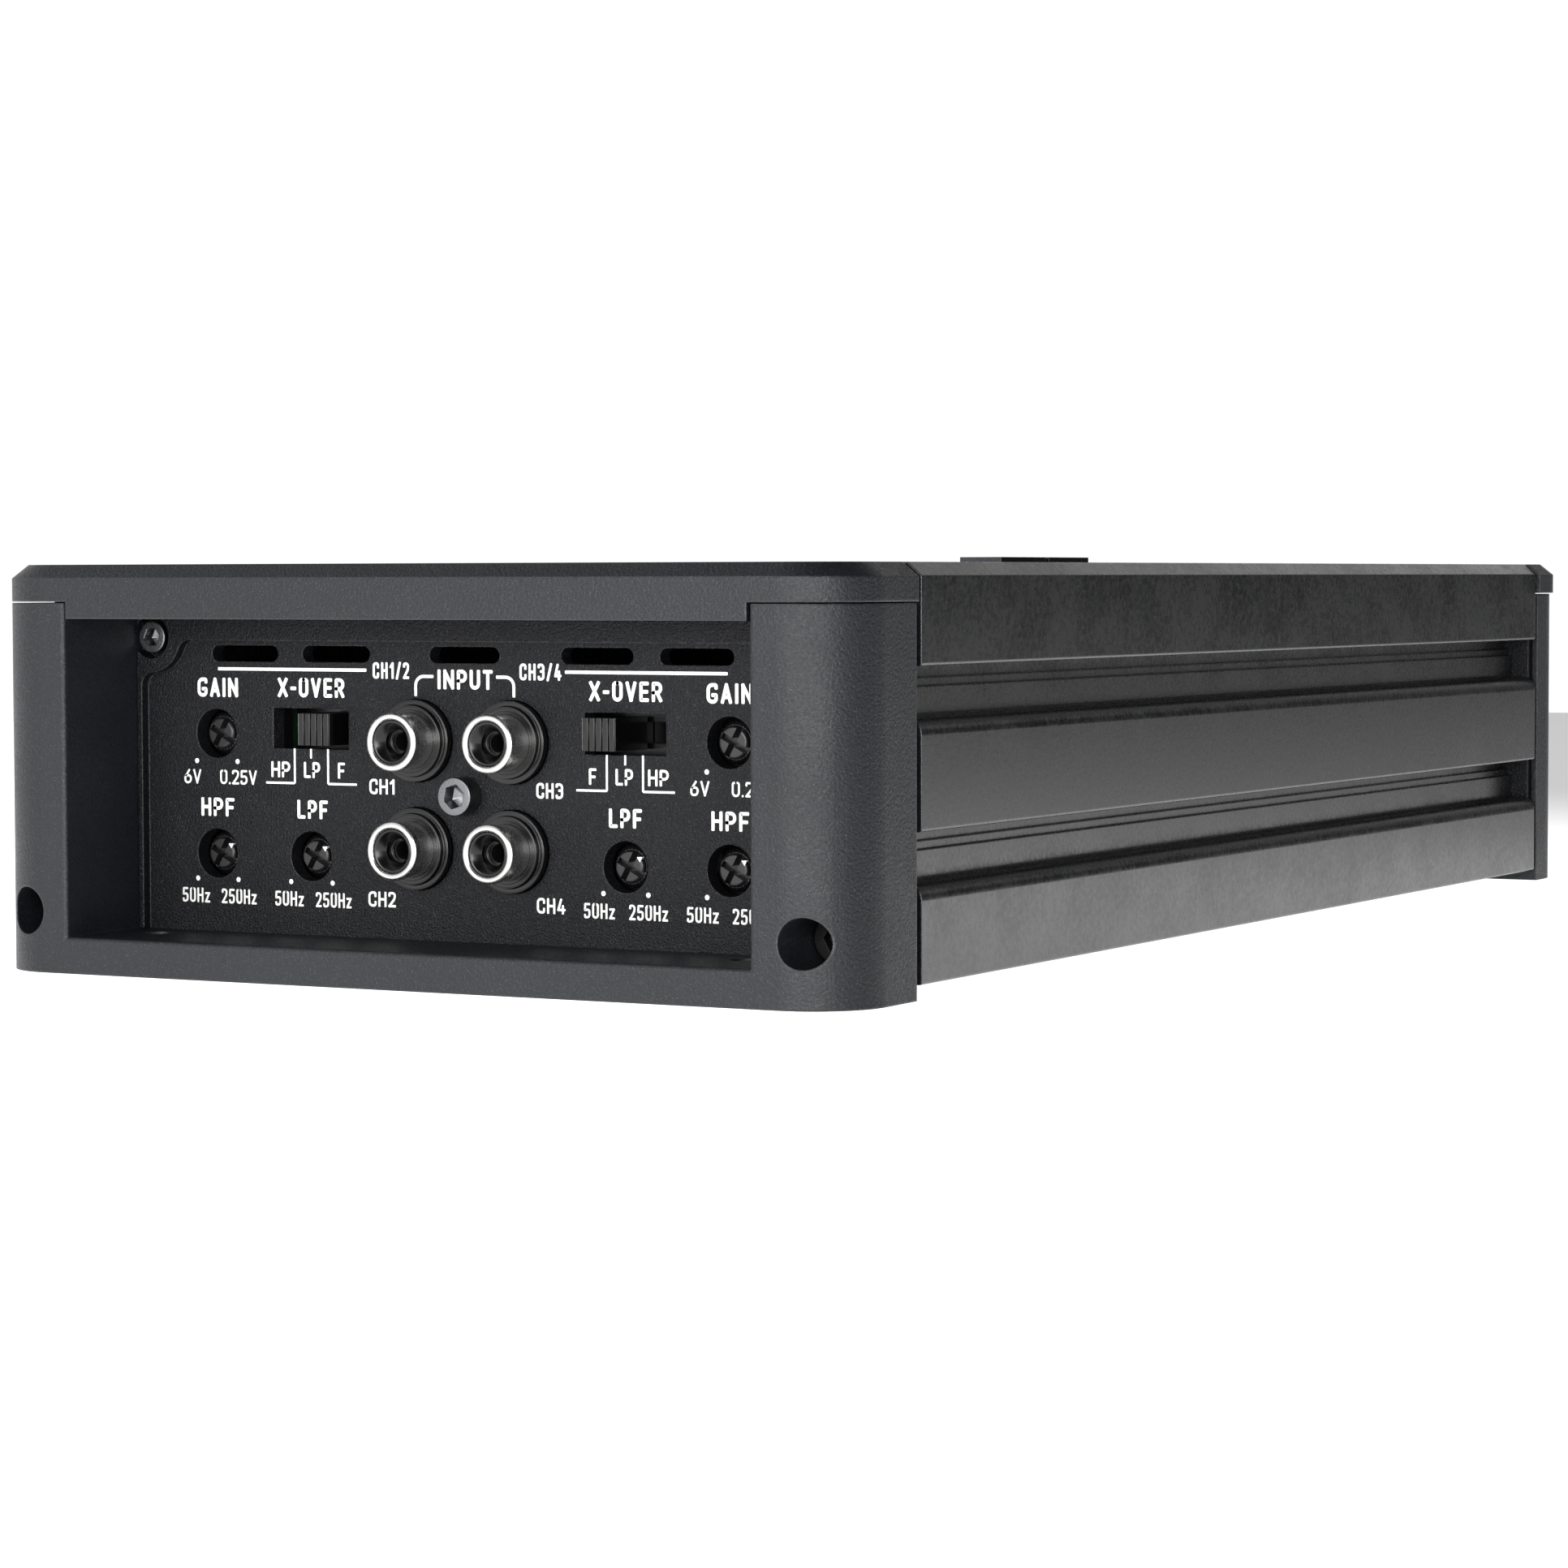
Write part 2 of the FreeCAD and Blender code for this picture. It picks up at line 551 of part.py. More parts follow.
def edges_at(shape, axis, places):
    """Names of the straight edges along an axis whose middle is at one of the places."""
    others = [index for index in range(3) if index != axis]
    names = []
    for index, edge in enumerate(shape.Edges, start=1):
        ends = [vertex.Point for vertex in edge.Vertexes]
        if len(ends) != 2 or edge.Curve.TypeId != "Part::GeomLine":
            continue
        if any(abs(ends[0][other] - ends[1][other]) > 1e-4 for other in others):
            continue
        middle = (ends[0] + ends[1]) * 0.5
        if any(all(abs(middle[other] - spot[k]) < 0.02 for k, other in enumerate(others))
               for spot in places):
            names.append("Edge%d" % index)
    return names


def soften(body, name, kind, names, radius):
    """Fillet or chamfer the named edges of a body."""
    if not names:
        raise RuntimeError(name + " finds no edge")
    base = body.Tip
    feature = body.newObject("PartDesign::" + kind, name)
    feature.Base = (base, names)
    bind(feature, "Radius" if kind == "Fillet" else "Size", radius)
    doc.recompute()
    return feature


# Heatsink, bottom plate and badges


def groove_steps(lip):
    """Right-hand side of one stepped groove, from its lip down to its floor."""
    return [
        ("half_width", lip),
        ("half_width - groove_depth", lip),
        ("half_width - groove_depth", "%s - first_ledge_drop" % lip),
        ("half_width - first_ledge_depth", "%s - first_ledge_drop" % lip),
        ("half_width - first_ledge_depth", "%s - second_ledge_drop" % lip),
        ("half_width - second_ledge_depth", "%s - second_ledge_drop" % lip),
        ("half_width - second_ledge_depth", "%s - groove_height" % lip),
        ("half_width", "%s - groove_height" % lip),
    ]


def make_heatsink():
    """Extruded cover: one profile with stepped side grooves, cut to length."""
    body = doc.addObject("PartDesign::Body", "heatsink")
    sketch = sketch_on(body, "heatsink_profile", "XZ_Plane", "0 - sink_start")
    top_grooves = []
    for count in (1, 0):
        outer = "top_groove_across + %d * top_groove_pitch + top_groove_width / 2" % count
        inner = "top_groove_across + %d * top_groove_pitch - top_groove_width / 2" % count
        floor = "overall_height - top_groove_depth"
        top_grooves += [(outer, "overall_height"), (outer, floor), (inner, floor),
                        (inner, "overall_height")]
    right = [
        ("panel_screw_across - screw_port", "roof_inner"),
        ("panel_screw_across - screw_port", "panel_screw_top - screw_port"),
        ("wall_inner", "panel_screw_top - screw_port"),
        ("wall_inner", "plate_top + plate_fit"),
        ("wall_inner + plate_seat", "plate_top + plate_fit"),
        ("wall_inner + plate_seat", "sink_bottom"),
        ("half_width", "sink_bottom"),
    ]
    right += groove_steps("lower_lip_up")[::-1] + groove_steps("upper_lip_up")[::-1]
    right += [
        ("half_width", "overall_height - sink_chamfer_rise"),
        ("half_width - sink_chamfer_run", "overall_height"),
    ]
    right += top_grooves
    left = [("0 - (%s)" % across, up) for across, up in reversed(right)]
    outline(sketch, right + left)
    raise_from(body, "heatsink_extrusion", sketch, "sink_length", backwards=True)
    half = number("half_width")
    lips = [number("upper_lip_up"), number("lower_lip_up"), number("sink_bottom")]
    crowns = [number("upper_lip_up - groove_height"), number("lower_lip_up - groove_height")]
    for name, ups, radius in (("crown", crowns, "band_radius"), ("lip", lips, "lip_radius")):
        spots = [(side * half, up) for label, side in SIDES for up in ups]
        soften(body, "heatsink_" + name, "Fillet", edges_at(body.Shape, 1, spots), radius)
    return body


def screw_row(first, last, count):
    """Evenly spaced places from the first formula to the last."""
    return ["%s + (%s - (%s)) * %d / %d" % (first, last, first, index, count - 1)
            for index in range(count)]


def plate_screw_places():
    """Places of the bottom plate's screws, four along each side."""
    rows = screw_row("sink_start + plate_screw_end", "sink_end - plate_screw_end", 4)
    return [("%d * (plate_screw_across)" % side, along) for label, side in SIDES for along in rows]


def make_bottom_plate():
    """Steel plate that closes the heatsink from below, with plain holes."""
    body = doc.addObject("PartDesign::Body", "bottom_plate")
    sketch = sketch_on(body, "bottom_plate_outline", "XY_Plane", "sink_bottom")
    rectangle(sketch, "0 - (plate_half)", "plate_half", "sink_start + plate_fit",
              "sink_end - plate_fit")
    raise_from(body, "bottom_plate_sheet", sketch, "plate_thickness")
    holes = sketch_on(body, "bottom_plate_holes", "XY_Plane", "plate_top")
    for across, along in plate_screw_places():
        circle(holes, across, along, "plate_screw_head_d + 2 * plate_fit")
    sink_into(body, "bottom_plate_drilling", holes, "plate_thickness")
    return body


def make_bottom_plate_screws():
    """Flat-headed screws, flush with the plate and screwed up into the side walls."""
    screws = []
    for index, (across, along) in enumerate(plate_screw_places()):
        name = "plate_screw_%d" % index
        at = (across, along, "sink_bottom")
        head = cone(name + "_head", at, "plate_screw_head_d", "plate_screw_d",
                    "plate_thickness", UPRIGHT)
        shank = cylinder(name + "_shank", at, "plate_screw_d", "plate_screw_length", UPRIGHT)
        socket = hexagon(name + "_socket", at, "0.4 * plate_screw_head_d",
                         "0.7 * plate_thickness", UPRIGHT)
        screws.append(cut(name, fuse(name + "_solid", [head, shank]), [socket]))
    return group("bottom_plate_screws", screws)


def drill_heatsink(body):
    """Threaded holes for the screws of the plate, the frames, the panels and the clamps."""
    holes = sketch_on(body, "heatsink_plate_holes", "XY_Plane", "plate_top + plate_fit")
    for across, along in plate_screw_places():
        circle(holes, across, along, "plate_screw_d")
    sink_into(body, "heatsink_plate_drilling", holes, "plate_screw_length", backwards=True)
    for end in ("front", "rear"):
        lines = frame_lines(end)
        name = "heatsink_%s_" % end
        frame_holes = sketch_on(body, name + "frame_holes", "XZ_Plane", "0 - (%s)" % lines["sink"])
        panel_holes = sketch_on(body, name + "panel_holes", "XZ_Plane", "0 - (%s)" % lines["sink"])
        for label, side in SIDES:
            circle(frame_holes, "%d * (frame_bore_across)" % side, "frame_bore_up",
                   "frame_screw_d")
            circle(panel_holes, "%d * (panel_screw_across)" % side, "panel_screw_top",
                   "panel_screw_d")
        outwards = lines["way"] < 0
        sink_into(body, name + "frame_drilling", frame_holes, "frame_screw_grip", outwards)
        sink_into(body, name + "panel_drilling", panel_holes, "panel_screw_grip", outwards)
    for label, side in SIDES:
        name = "heatsink_%s_clamp_" % label
        face = "%d * (wall_inner)" % side
        holes = sketch_on(body, name + "holes", "YZ_Plane", face)
        for along in clamp_screw_places():
            circle(holes, along, "clamp_up", "clamp_screw_d")
        sink_into(body, name + "drilling", holes, "clamp_screw_bite", backwards=side > 0)


def make_badges():
    """Two thin blank plates on top of the heatsink."""
    size = ("badge_width", "badge_long", "badge_thickness")
    front = box("badge_front", ("0", "badge_start", "overall_height"), size)
    size = ("badge_width", "badge_short", "badge_thickness")
    rear = box("badge_rear", ("0", "badge_start + badge_long + badge_gap", "overall_height"), size)
    return [front, rear]


# End frames and hoods. The front one is described; the rear one is turned about.


def frame_lines(end):
    """Formulas that tell one end from the other: outer face, way in and depths."""
    if end == "front":
        return {"face": "0", "way": 1, "depth": "front_frame_depth", "proud": "0",
                "hole": "front_hole_inset", "panel": "front_face", "sink": "sink_start"}
    return {"face": "overall_length", "way": -1, "depth": "rear_frame_depth",
            "proud": "rear_hood_proud", "hole": "overall_length - rear_hole_inset",
            "panel": "rear_face", "sink": "sink_end"}


def in_from(lines, distance):
    """Place along Y, a distance in from the outer face of an end."""
    return "%s + %d * (%s)" % (lines["face"], lines["way"], distance)


def on_end(body, name, lines, distance):
    """Upright sketch across the object, a distance in from the outer face."""
    return sketch_on(body, name, "XZ_Plane", "0 - (%s)" % in_from(lines, distance))


def make_frame(end):
    """Cast end frame: two posts with big round corners, joined by a bottom bar."""
    lines = frame_lines(end)
    inwards = lines["way"] > 0
    name = end + "_frame"
    body = doc.addObject("PartDesign::Body", name)
    sketch = on_end(body, name + "_outline", lines, "0")
    outline(sketch, [
        ("0 - half_width", "0"), ("half_width", "0"), ("half_width", "post_top"),
        ("post_inner", "post_top"), ("post_inner", "bar_height"),
        ("0 - (post_inner)", "bar_height"), ("0 - (post_inner)", "post_top"),
        ("0 - half_width", "post_top"),
    ])
    raise_from(body, name + "_casting", sketch, lines["depth"], backwards=inwards)

    half = number("half_width")
    face = number(lines["face"])
    corners = edges_at(body.Shape, 2, [(-half, face), (half, face)])
    soften(body, name + "_corners", "Fillet", corners, "corner_radius")
    inner = number("post_inner")
    rims = edges_at(body.Shape, 2, [(-inner, face), (inner, face)])
    rims += edges_at(body.Shape, 0, [(face, number("bar_height"))])
    soften(body, name + "_rim", "Fillet", rims, "frame_edge_radius")

    seat = on_end(body, name + "_seat", lines, "(%s)" % lines["depth"])
    rectangle(seat, "0 - (panel_half + panel_fit)", "panel_half + panel_fit",
              "panel_bottom - panel_fit", "overall_height")
    sink_into(body, name + "_panel_seat", seat,
              "panel_thickness - shadow_gap + panel_fit / 3", backwards=inwards)

    bores = on_end(body, name + "_bores", lines, "0")
    shanks = on_end(body, name + "_shank_holes", lines, "0")
    for label, side in SIDES:
        across = "%d * (frame_bore_across)" % side
        circle(bores, across, "frame_bore_up", "frame_bore_d")
        circle(shanks, across, "frame_bore_up", "frame_screw_d + 2 * dowel_fit")
    sink_into(body, name + "_counterbores", bores,
              "front_face - frame_bore_floor" if end == "front"
              else "overall_length - (rear_face) - frame_bore_floor", backwards=not inwards)
    sink_into(body, name + "_shank_bores", shanks, lines["depth"], backwards=not inwards)

    floor = sketch_on(body, name + "_floor_holes", "XY_Plane", "bar_height")
    sockets = sketch_on(body, name + "_dowel_sockets", "XY_Plane", "post_top")
    for label, side in SIDES:
        circle(floor, "%d * (mount_across)" % side, lines["hole"], "mount_hole_d")
        circle(sockets, "%d * (half_width - post_width / 2)" % side, dowel_along(lines),
               "dowel_d + 2 * dowel_fit")
    sink_into(body, name + "_mounting_holes", floor, "bar_height")
    sink_into(body, name + "_sockets", sockets, "dowel_length + dowel_fit")
    return body


def dowel_along(lines):
    """Place along Y of the dowels that hold a hood on its posts."""
    return in_from(lines, "0.62 * (%s)" % lines["depth"])


def make_hood(end):
    """Hood over the posts: chamfered cap, hanging skirt and two dowels."""
    lines = frame_lines(end)
    name = end + "_hood"
    half = "half_width + %s" % lines["proud"]
    body = doc.addObject("PartDesign::Body", name)
    cap = sketch_on(body, name + "_outline", "XY_Plane", "hood_bottom")
    outer = lines["face"]
    inner = in_from(lines, "%s + hood_overrun" % lines["depth"])
    rectangle(cap, "0 - (%s)" % half, half, outer, inner)
    raise_from(body, name + "_cap", cap, "hood_height")

    face = number(outer)
    wide = number(half)
    corners = edges_at(body.Shape, 2, [(-wide, face), (wide, face)])
    soften(body, name + "_corners", "Fillet", corners, "corner_radius")
    top = number("overall_height")
    back = number(inner)
    rim = []
    for index, edge in enumerate(body.Shape.Edges, start=1):
        level = all(abs(vertex.Point.z - top) < 1e-4 for vertex in edge.Vertexes)
        at_back = all(abs(vertex.Point.y - back) < 1e-4 for vertex in edge.Vertexes)
        if level and not at_back:
            rim.append("Edge%d" % index)
    base = body.Tip
    chamfer = body.newObject("PartDesign::Chamfer", name + "_chamfer")
    chamfer.Base = (base, rim)
    chamfer.ChamferType = "Two distances"
    bind(chamfer, "Size", "hood_chamfer_rise")
    bind(chamfer, "Size2", "hood_chamfer_run")
    doc.recompute()

    skirt = sketch_on(body, name + "_skirt_outline", "XY_Plane", "hood_bottom")
    reach = in_from(lines, "(%s) - shadow_gap - border_rise" % lines["depth"])
    rectangle(skirt, "0 - (post_inner - skirt_gap)", "post_inner - skirt_gap", outer, reach)
    raise_from(body, name + "_skirt", skirt, "skirt_drop", backwards=True)
    dowels = sketch_on(body, name + "_dowel_outline", "XY_Plane", "hood_bottom")
    for label, side in SIDES:
        circle(dowels, "%d * (half_width - post_width / 2)" % side, dowel_along(lines), "dowel_d")
    raise_from(body, name + "_dowels", dowels, "dowel_length", backwards=True)
    return body


def make_frame_screws():
    """Four long cap screws that hold the end frames to the heatsink."""
    screws = []
    for end in ("front", "rear"):
        lines = frame_lines(end)
        turn = ALONG_Y if lines["way"] > 0 else Rotation(Vector(1, 0, 0), 90)
        along = "%s - %d * frame_bore_floor" % (lines["panel"], lines["way"])
        for label, side in SIDES:
            at = ("%d * (frame_bore_across)" % side, along, "frame_bore_up")
            screws.append(cap_screw("frame_screw_%s_%s" % (end, label), at, turn,
                                    "frame_screw_d", "frame_screw_grip + frame_bore_floor",
                                    "frame_screw_head_d", "frame_screw_head"))
    return group("frame_screws", screws)


# End panels


def arc(sketch, middle, start, end, turning):
    """Arc about a middle, from start to end; turning is 1 to the left, -1 to the right."""
    first, last = (start, end) if turning > 0 else (end, start)
    radius = (start - middle).Length
    angles = [math.atan2(point.y - middle.y, point.x - middle.x) for point in (first, last)]
    if angles[1] < angles[0]:
        angles[1] += 2 * math.pi
    ring = Part.Circle(middle, Vector(0, 0, 1), radius)
    shape = sketch.addGeometry(Part.ArcOfCircle(ring, angles[0], angles[1]), False)
    return (shape, 1, 2) if turning > 0 else (shape, 2, 1)


def chain(sketch, joints):
    """Close a run of (shape, first point, last point), smooth wherever it is asked for."""
    for index, (shape, _, end, smooth) in enumerate(joints):
        following = joints[(index + 1) % len(joints)]
        kind = "Tangent" if smooth else "Coincident"
        sketch.addConstraint(Sketcher.Constraint(kind, shape, end, following[0], following[1]))


def radius_rule(sketch, shape, text):
    """Tie an arc's radius to a formula."""
    rule = sketch.addConstraint(Sketcher.Constraint("Radius", shape, number(text)))
    bind(sketch, "Constraints[%d]" % rule, text)


def slot(sketch, across, up, length, height):
    """Slot with round ends, lying across."""
    reach = "((%s) - (%s)) / 2" % (length, height)
    radius = number(height) / 2
    ends = [Vector(number("%s %s %s" % (across, sign, reach)), number(up), 0)
            for sign in ("+", "-")]
    lift = Vector(0, radius, 0)
    right = arc(sketch, ends[0], ends[0] - lift, ends[0] + lift, 1)
    top = sketch.addGeometry(Part.LineSegment(ends[0] + lift, ends[1] + lift), False)
    left = arc(sketch, ends[1], ends[1] + lift, ends[1] - lift, 1)
    base = sketch.addGeometry(Part.LineSegment(ends[1] - lift, ends[0] - lift), False)
    chain(sketch, [right + (True,), (top, 1, 2, True), left + (True,), (base, 1, 2, True)])
    pin(sketch, right[0], 3, "%s + %s" % (across, reach), up)
    pin(sketch, left[0], 3, "%s - %s" % (across, reach), up)
    radius_rule(sketch, right[0], "(%s) / 2" % height)


def border_outline(sketch):
    """Raised border: down both sides and across the top, round a boss at each top corner."""
    outer, top = number("border_half"), number("border_top")
    inner, ceiling = number("field_half"), number("field_top")
    floor = number("bar_height + panel_fit")
    boss, blend = number("corner_boss_r"), number("corner_blend_r")
    joints = []

    def line(start, end, smooth=False):
        """Straight stretch, with a smooth joint to what follows if asked for."""
        shape = sketch.addGeometry(Part.LineSegment(start, end), False)
        joints.append((shape, 1, 2, smooth))
        return shape

    def corner(side):
        """Points of the right or left corner, from the side up to the top."""
        screw = Vector(side * number("panel_screw_across"), number("panel_screw_top"), 0)
        low = Vector(side * (inner - blend), 0, 0)
        low.y = screw.y - math.sqrt((boss + blend) ** 2 - (screw.x - low.x) ** 2)
        high = Vector(0, ceiling - blend, 0)
        high.x = screw.x - side * math.sqrt((boss + blend) ** 2 - (screw.y - high.y) ** 2)
        share = boss / (boss + blend)
        return (Vector(side * inner, low.y, 0), low, screw + (low - screw) * share, screw,
                screw + (high - screw) * share, high, Vector(high.x, ceiling, 0))

    right, left = corner(1), corner(-1)
    outer_right = line(Vector(outer, floor, 0), Vector(outer, top, 0))
    outer_top = line(Vector(outer, top, 0), Vector(-outer, top, 0))
    outer_left = line(Vector(-outer, top, 0), Vector(-outer, floor, 0))
    line(Vector(-outer, floor, 0), Vector(-inner, floor, 0))
    left_side = line(Vector(-inner, floor, 0), left[0], True)
    arcs = [
        arc(sketch, left[1], left[0], left[2], -1),
        arc(sketch, left[3], left[2], left[4], 1),
        arc(sketch, left[5], left[4], left[6], -1),
    ]
    joints.extend(item + (True,) for item in arcs)
    ceiling_line = line(left[6], right[6], True)
    mirrored = [
        arc(sketch, right[5], right[6], right[4], -1),
        arc(sketch, right[3], right[4], right[2], 1),
        arc(sketch, right[1], right[2], right[0], -1),
    ]
    joints.extend(item + (True,) for item in mirrored)
    right_side = line(right[0], Vector(inner, floor, 0))
    line(Vector(inner, floor, 0), Vector(outer, floor, 0))
    chain(sketch, joints)

    base = "bar_height + panel_fit"
    pin(sketch, outer_right, 1, "border_half", base)
    pin(sketch, outer_top, 1, "border_half", "border_top")
    pin(sketch, outer_left, 1, "0 - (border_half)", "border_top")
    pin(sketch, outer_left, 2, "0 - (border_half)", base)
    pin(sketch, left_side, 1, "0 - (field_half)", base)
    pin(sketch, right_side, 2, "field_half", base)
    for shape in (left_side, right_side):
        sketch.addConstraint(Sketcher.Constraint("Vertical", shape))
    sketch.addConstraint(Sketcher.Constraint("Horizontal", ceiling_line))
    height = Sketcher.Constraint("DistanceY", -1, 1, ceiling_line, 1, ceiling)
    bind(sketch, "Constraints[%d]" % sketch.addConstraint(height), "field_top")
    for side, pieces in ((-1, arcs), (1, mirrored)):
        pin(sketch, pieces[1][0], 3, "%d * (panel_screw_across)" % side, "panel_screw_top")
        radius_rule(sketch, pieces[1][0], "corner_boss_r")
        for piece in (pieces[0], pieces[2]):
            radius_rule(sketch, piece[0], "corner_blend_r")


def make_panel(end):
    """End panel: plate with a raised border, vents and screw holes, before its own cut-outs."""
    lines = frame_lines(end)
    inwards = lines["way"] > 0
    name = end + "_panel"
    body = doc.addObject("PartDesign::Body", name)
    face = "0 - (%s)" % lines["panel"]
    plate = sketch_on(body, name + "_outline", "XZ_Plane", face)
    rectangle(plate, "0 - (panel_half)", "panel_half", "panel_bottom", "panel_top")
    raise_from(body, name + "_plate", plate, "panel_thickness", backwards=inwards)
    border = sketch_on(body, name + "_border_outline", "XZ_Plane", face)
    border_outline(border)
    raise_from(body, name + "_border", border, "border_rise", backwards=not inwards)

    front_of_border = "0 - (%s - %d * border_rise)" % (lines["panel"], lines["way"])
    bores = sketch_on(body, name + "_bores", "XZ_Plane", front_of_border)
    holes = sketch_on(body, name + "_holes", "XZ_Plane", front_of_border)
    for label, side in SIDES:
        circle(bores, "%d * (panel_screw_across)" % side, "panel_screw_top", "panel_bore_d")
        circle(holes, "%d * (panel_screw_across)" % side, "panel_screw_top",
               "panel_screw_d + 2 * panel_fit")
        circle(holes, "%d * (frame_bore_across)" % side, "frame_bore_up",
               "frame_screw_d + 2 * panel_fit")
        slot(holes, "%d * vent_inner_across" % side, "vent_up", "vent_length", "vent_height")
        slot(holes, "%d * vent_outer_across" % side, "vent_up", "vent_length", "vent_height")
    slot(holes, "0", "vent_up", "vent_length", "vent_height")
    sink_into(body, name + "_counterbores", bores, "panel_bore_depth", backwards=not inwards)
    sink_into(body, name + "_drilling", holes, "panel_thickness + border_rise",
              backwards=not inwards)
    return body


def make_front_panel():
    """Input panel: openings for six knobs, two switches, four jacks and their screw."""
    body = make_panel("front")
    openings = sketch_on(body, "front_panel_openings", "XZ_Plane", "0 - (front_face)")
    for name, across, up in knob_places():
        circle(openings, across, up, "pot_hole_d")
    for name, across, up in jack_places():
        circle(openings, across, up, "rca_collar_d + 2 * rca_fit")
    for label, side in SIDES:
        middle = "%d * switch_across" % side
        rectangle(openings, "%s - window_width / 2" % middle, "%s + window_width / 2" % middle,
                  "switch_up - window_height / 2", "switch_up + window_height / 2")
    circle(openings, "0", "rca_middle_up", "rca_screw_d + 2 * rca_fit")
    sink_into(body, "front_panel_cutting", openings, "panel_thickness")
    return body


def make_rear_panel():
    """Terminal panel: openings for two terminal blocks, the fuse holder and two lamps."""
    body = make_panel("rear")
    openings = sketch_on(body, "rear_panel_openings", "XZ_Plane", "0 - (rear_face)")
    rectangle(openings, "0 - power_across - (power_half) - terminal_fit",
              "0 - power_across + (power_half) + terminal_fit",
              "terminal_up - terminal_fit", "terminal_up + power_height + terminal_fit")
    rectangle(openings, "speaker_across - (speaker_half) - terminal_fit",
              "speaker_across + (speaker_half) + terminal_fit",
              "terminal_up - terminal_fit", "terminal_up + speaker_height + terminal_fit")
    rectangle(openings, "fuse_across - (holder_half) - terminal_fit",
              "fuse_across + (holder_half) + terminal_fit",
              "fuse_up - fuse_height / 2 - holder_wall - terminal_fit",
              "fuse_up + fuse_height / 2 + holder_wall + terminal_fit")
    for name, across in lamp_places():
        circle(openings, across, "led_up", "led_d + 2 * panel_fit")
    sink_into(body, "rear_panel_cutting", openings, "panel_thickness", backwards=True)
    return body


def make_panel_screws():
    """Four small cap screws in the panels' top corners."""
    screws = []
    for end in ("front", "rear"):
        lines = frame_lines(end)
        turn = ALONG_Y if lines["way"] > 0 else Rotation(Vector(1, 0, 0), 90)
        along = "%s + %d * (panel_bore_depth - border_rise)" % (lines["panel"], lines["way"])
        for label, side in SIDES:
            at = ("%d * (panel_screw_across)" % side, along, "panel_screw_top")
            screws.append(cap_screw("panel_screw_%s_%s" % (end, label), at, turn,
                                    "panel_screw_d", "panel_screw_grip",
                                    "panel_screw_head_d", "panel_screw_head"))
    return group("panel_screws", screws)


# Input jacks


def jack_places():
    """Names and places of the four jacks: channels 1 and 2 left, 3 and 4 right."""
    return [
        ("ch1", "0 - rca_across", "rca_upper_up"),
        ("ch2", "0 - rca_across", "rca_lower_up"),
        ("ch3", "rca_across", "rca_upper_up"),
        ("ch4", "rca_across", "rca_lower_up"),
    ]


def make_jack_block():
    """Moulded block behind the panel, with a stepped collar for each jack."""
    reach = "rca_collar_d / 2 + rca_block_margin"
    base = box("rca_block_base", ("0", "sink_start", "rca_lower_up - (%s)" % reach),
               ("2 * (rca_block_half)", "control_board_setback", "rca_pitch + 2 * (%s)" % reach))
    solids = [base]
    bores = [cylinder("rca_block_screw_hole", ("0", "front_face", "rca_middle_up"),
                      "rca_screw_d + 2 * rca_seat_fit", "panel_thickness + rca_screw_grip")]
    for name, across, up in jack_places():
        collar = (across, "front_face - rca_collar_proud", up)
        solids.append(cylinder("rca_collar_" + name, collar, "rca_collar_d",
                               "rca_collar_proud + panel_thickness + 1"))
        ring = (across, "front_face - rca_ring_proud", up)
        solids.append(cylinder("rca_ring_" + name, ring, "rca_ring_d",
                               "rca_ring_proud + panel_thickness + 1"))
        bores.append(cylinder("rca_bore_" + name, ring, "rca_root_d + 2 * rca_seat_fit",
                              "rca_ring_proud + panel_thickness + rca_shell_root"))
    return cut("rca_block", fuse("rca_block_solid", solids), bores)


def make_jack(name, across, up):
    """Metal shell and plastic insulator of one jack."""
    length = "rca_proud + panel_thickness + rca_shell_root"
    front = (across, "rca_front", up)
    barrel = cylinder("rca_barrel_" + name, front, "rca_shell_d",
                      "rca_proud - rca_ring_proud - rca_shoulder")
    root = cylinder("rca_root_" + name, front, "rca_root_d", length)
    bore = cylinder("rca_shell_bore_" + name, front, "rca_shell_d - 2 * rca_shell_wall", length)
    shell = cut("rca_shell_" + name, fuse("rca_shell_solid_" + name, [barrel, root]), [bore])
    core_front = (across, "rca_front + rca_core_recess", up)
    core = cylinder("rca_core_" + name, core_front, "rca_core_d",
                    "%s - rca_core_recess" % length)
    mouth = cone("rca_mouth_" + name, core_front, "rca_mouth_d", "rca_hole_d", "rca_mouth_depth")
    hole = cylinder("rca_hole_" + name, core_front, "rca_hole_d",
                    "%s - rca_core_recess - 1" % length)
    return [shell, cut("rca_insulator_" + name, core, [mouth, hole])]


def make_jack_contacts():
    """Sprung centre contacts, one inside each insulator."""
    sleeves = []
    for name, across, up in jack_places():
        at = (across, "rca_front + rca_core_recess + rca_contact_recess", up)
        length = ("rca_proud + panel_thickness + rca_shell_root - rca_core_recess"
                  " - rca_contact_recess - 1.2")
        outside = cylinder("rca_contact_outside_" + name, at, "rca_hole_d - 2 * rca_seat_fit",
                           length)
        inside = cylinder("rca_contact_inside_" + name, at,
                          "rca_hole_d - 2 * rca_seat_fit - 2 * rca_contact_wall", length)
        sleeves.append(cut("rca_contact_" + name, outside, [inside]))
    return group("rca_centre_contacts", sleeves)


# Knobs and switches


def knob_places():
    """Names and places of the six knobs."""
    places = []
    for label, side in SIDES:
        outer = "%d * pot_across_outer" % side
        inner = "%d * pot_across_inner" % side
        places.append(("gain_knob_" + label, outer, "gain_up"))
        places.append(("high_pass_knob_" + label, outer, "filter_up"))
        places.append(("low_pass_knob_" + label, inner, "filter_up"))
    return places


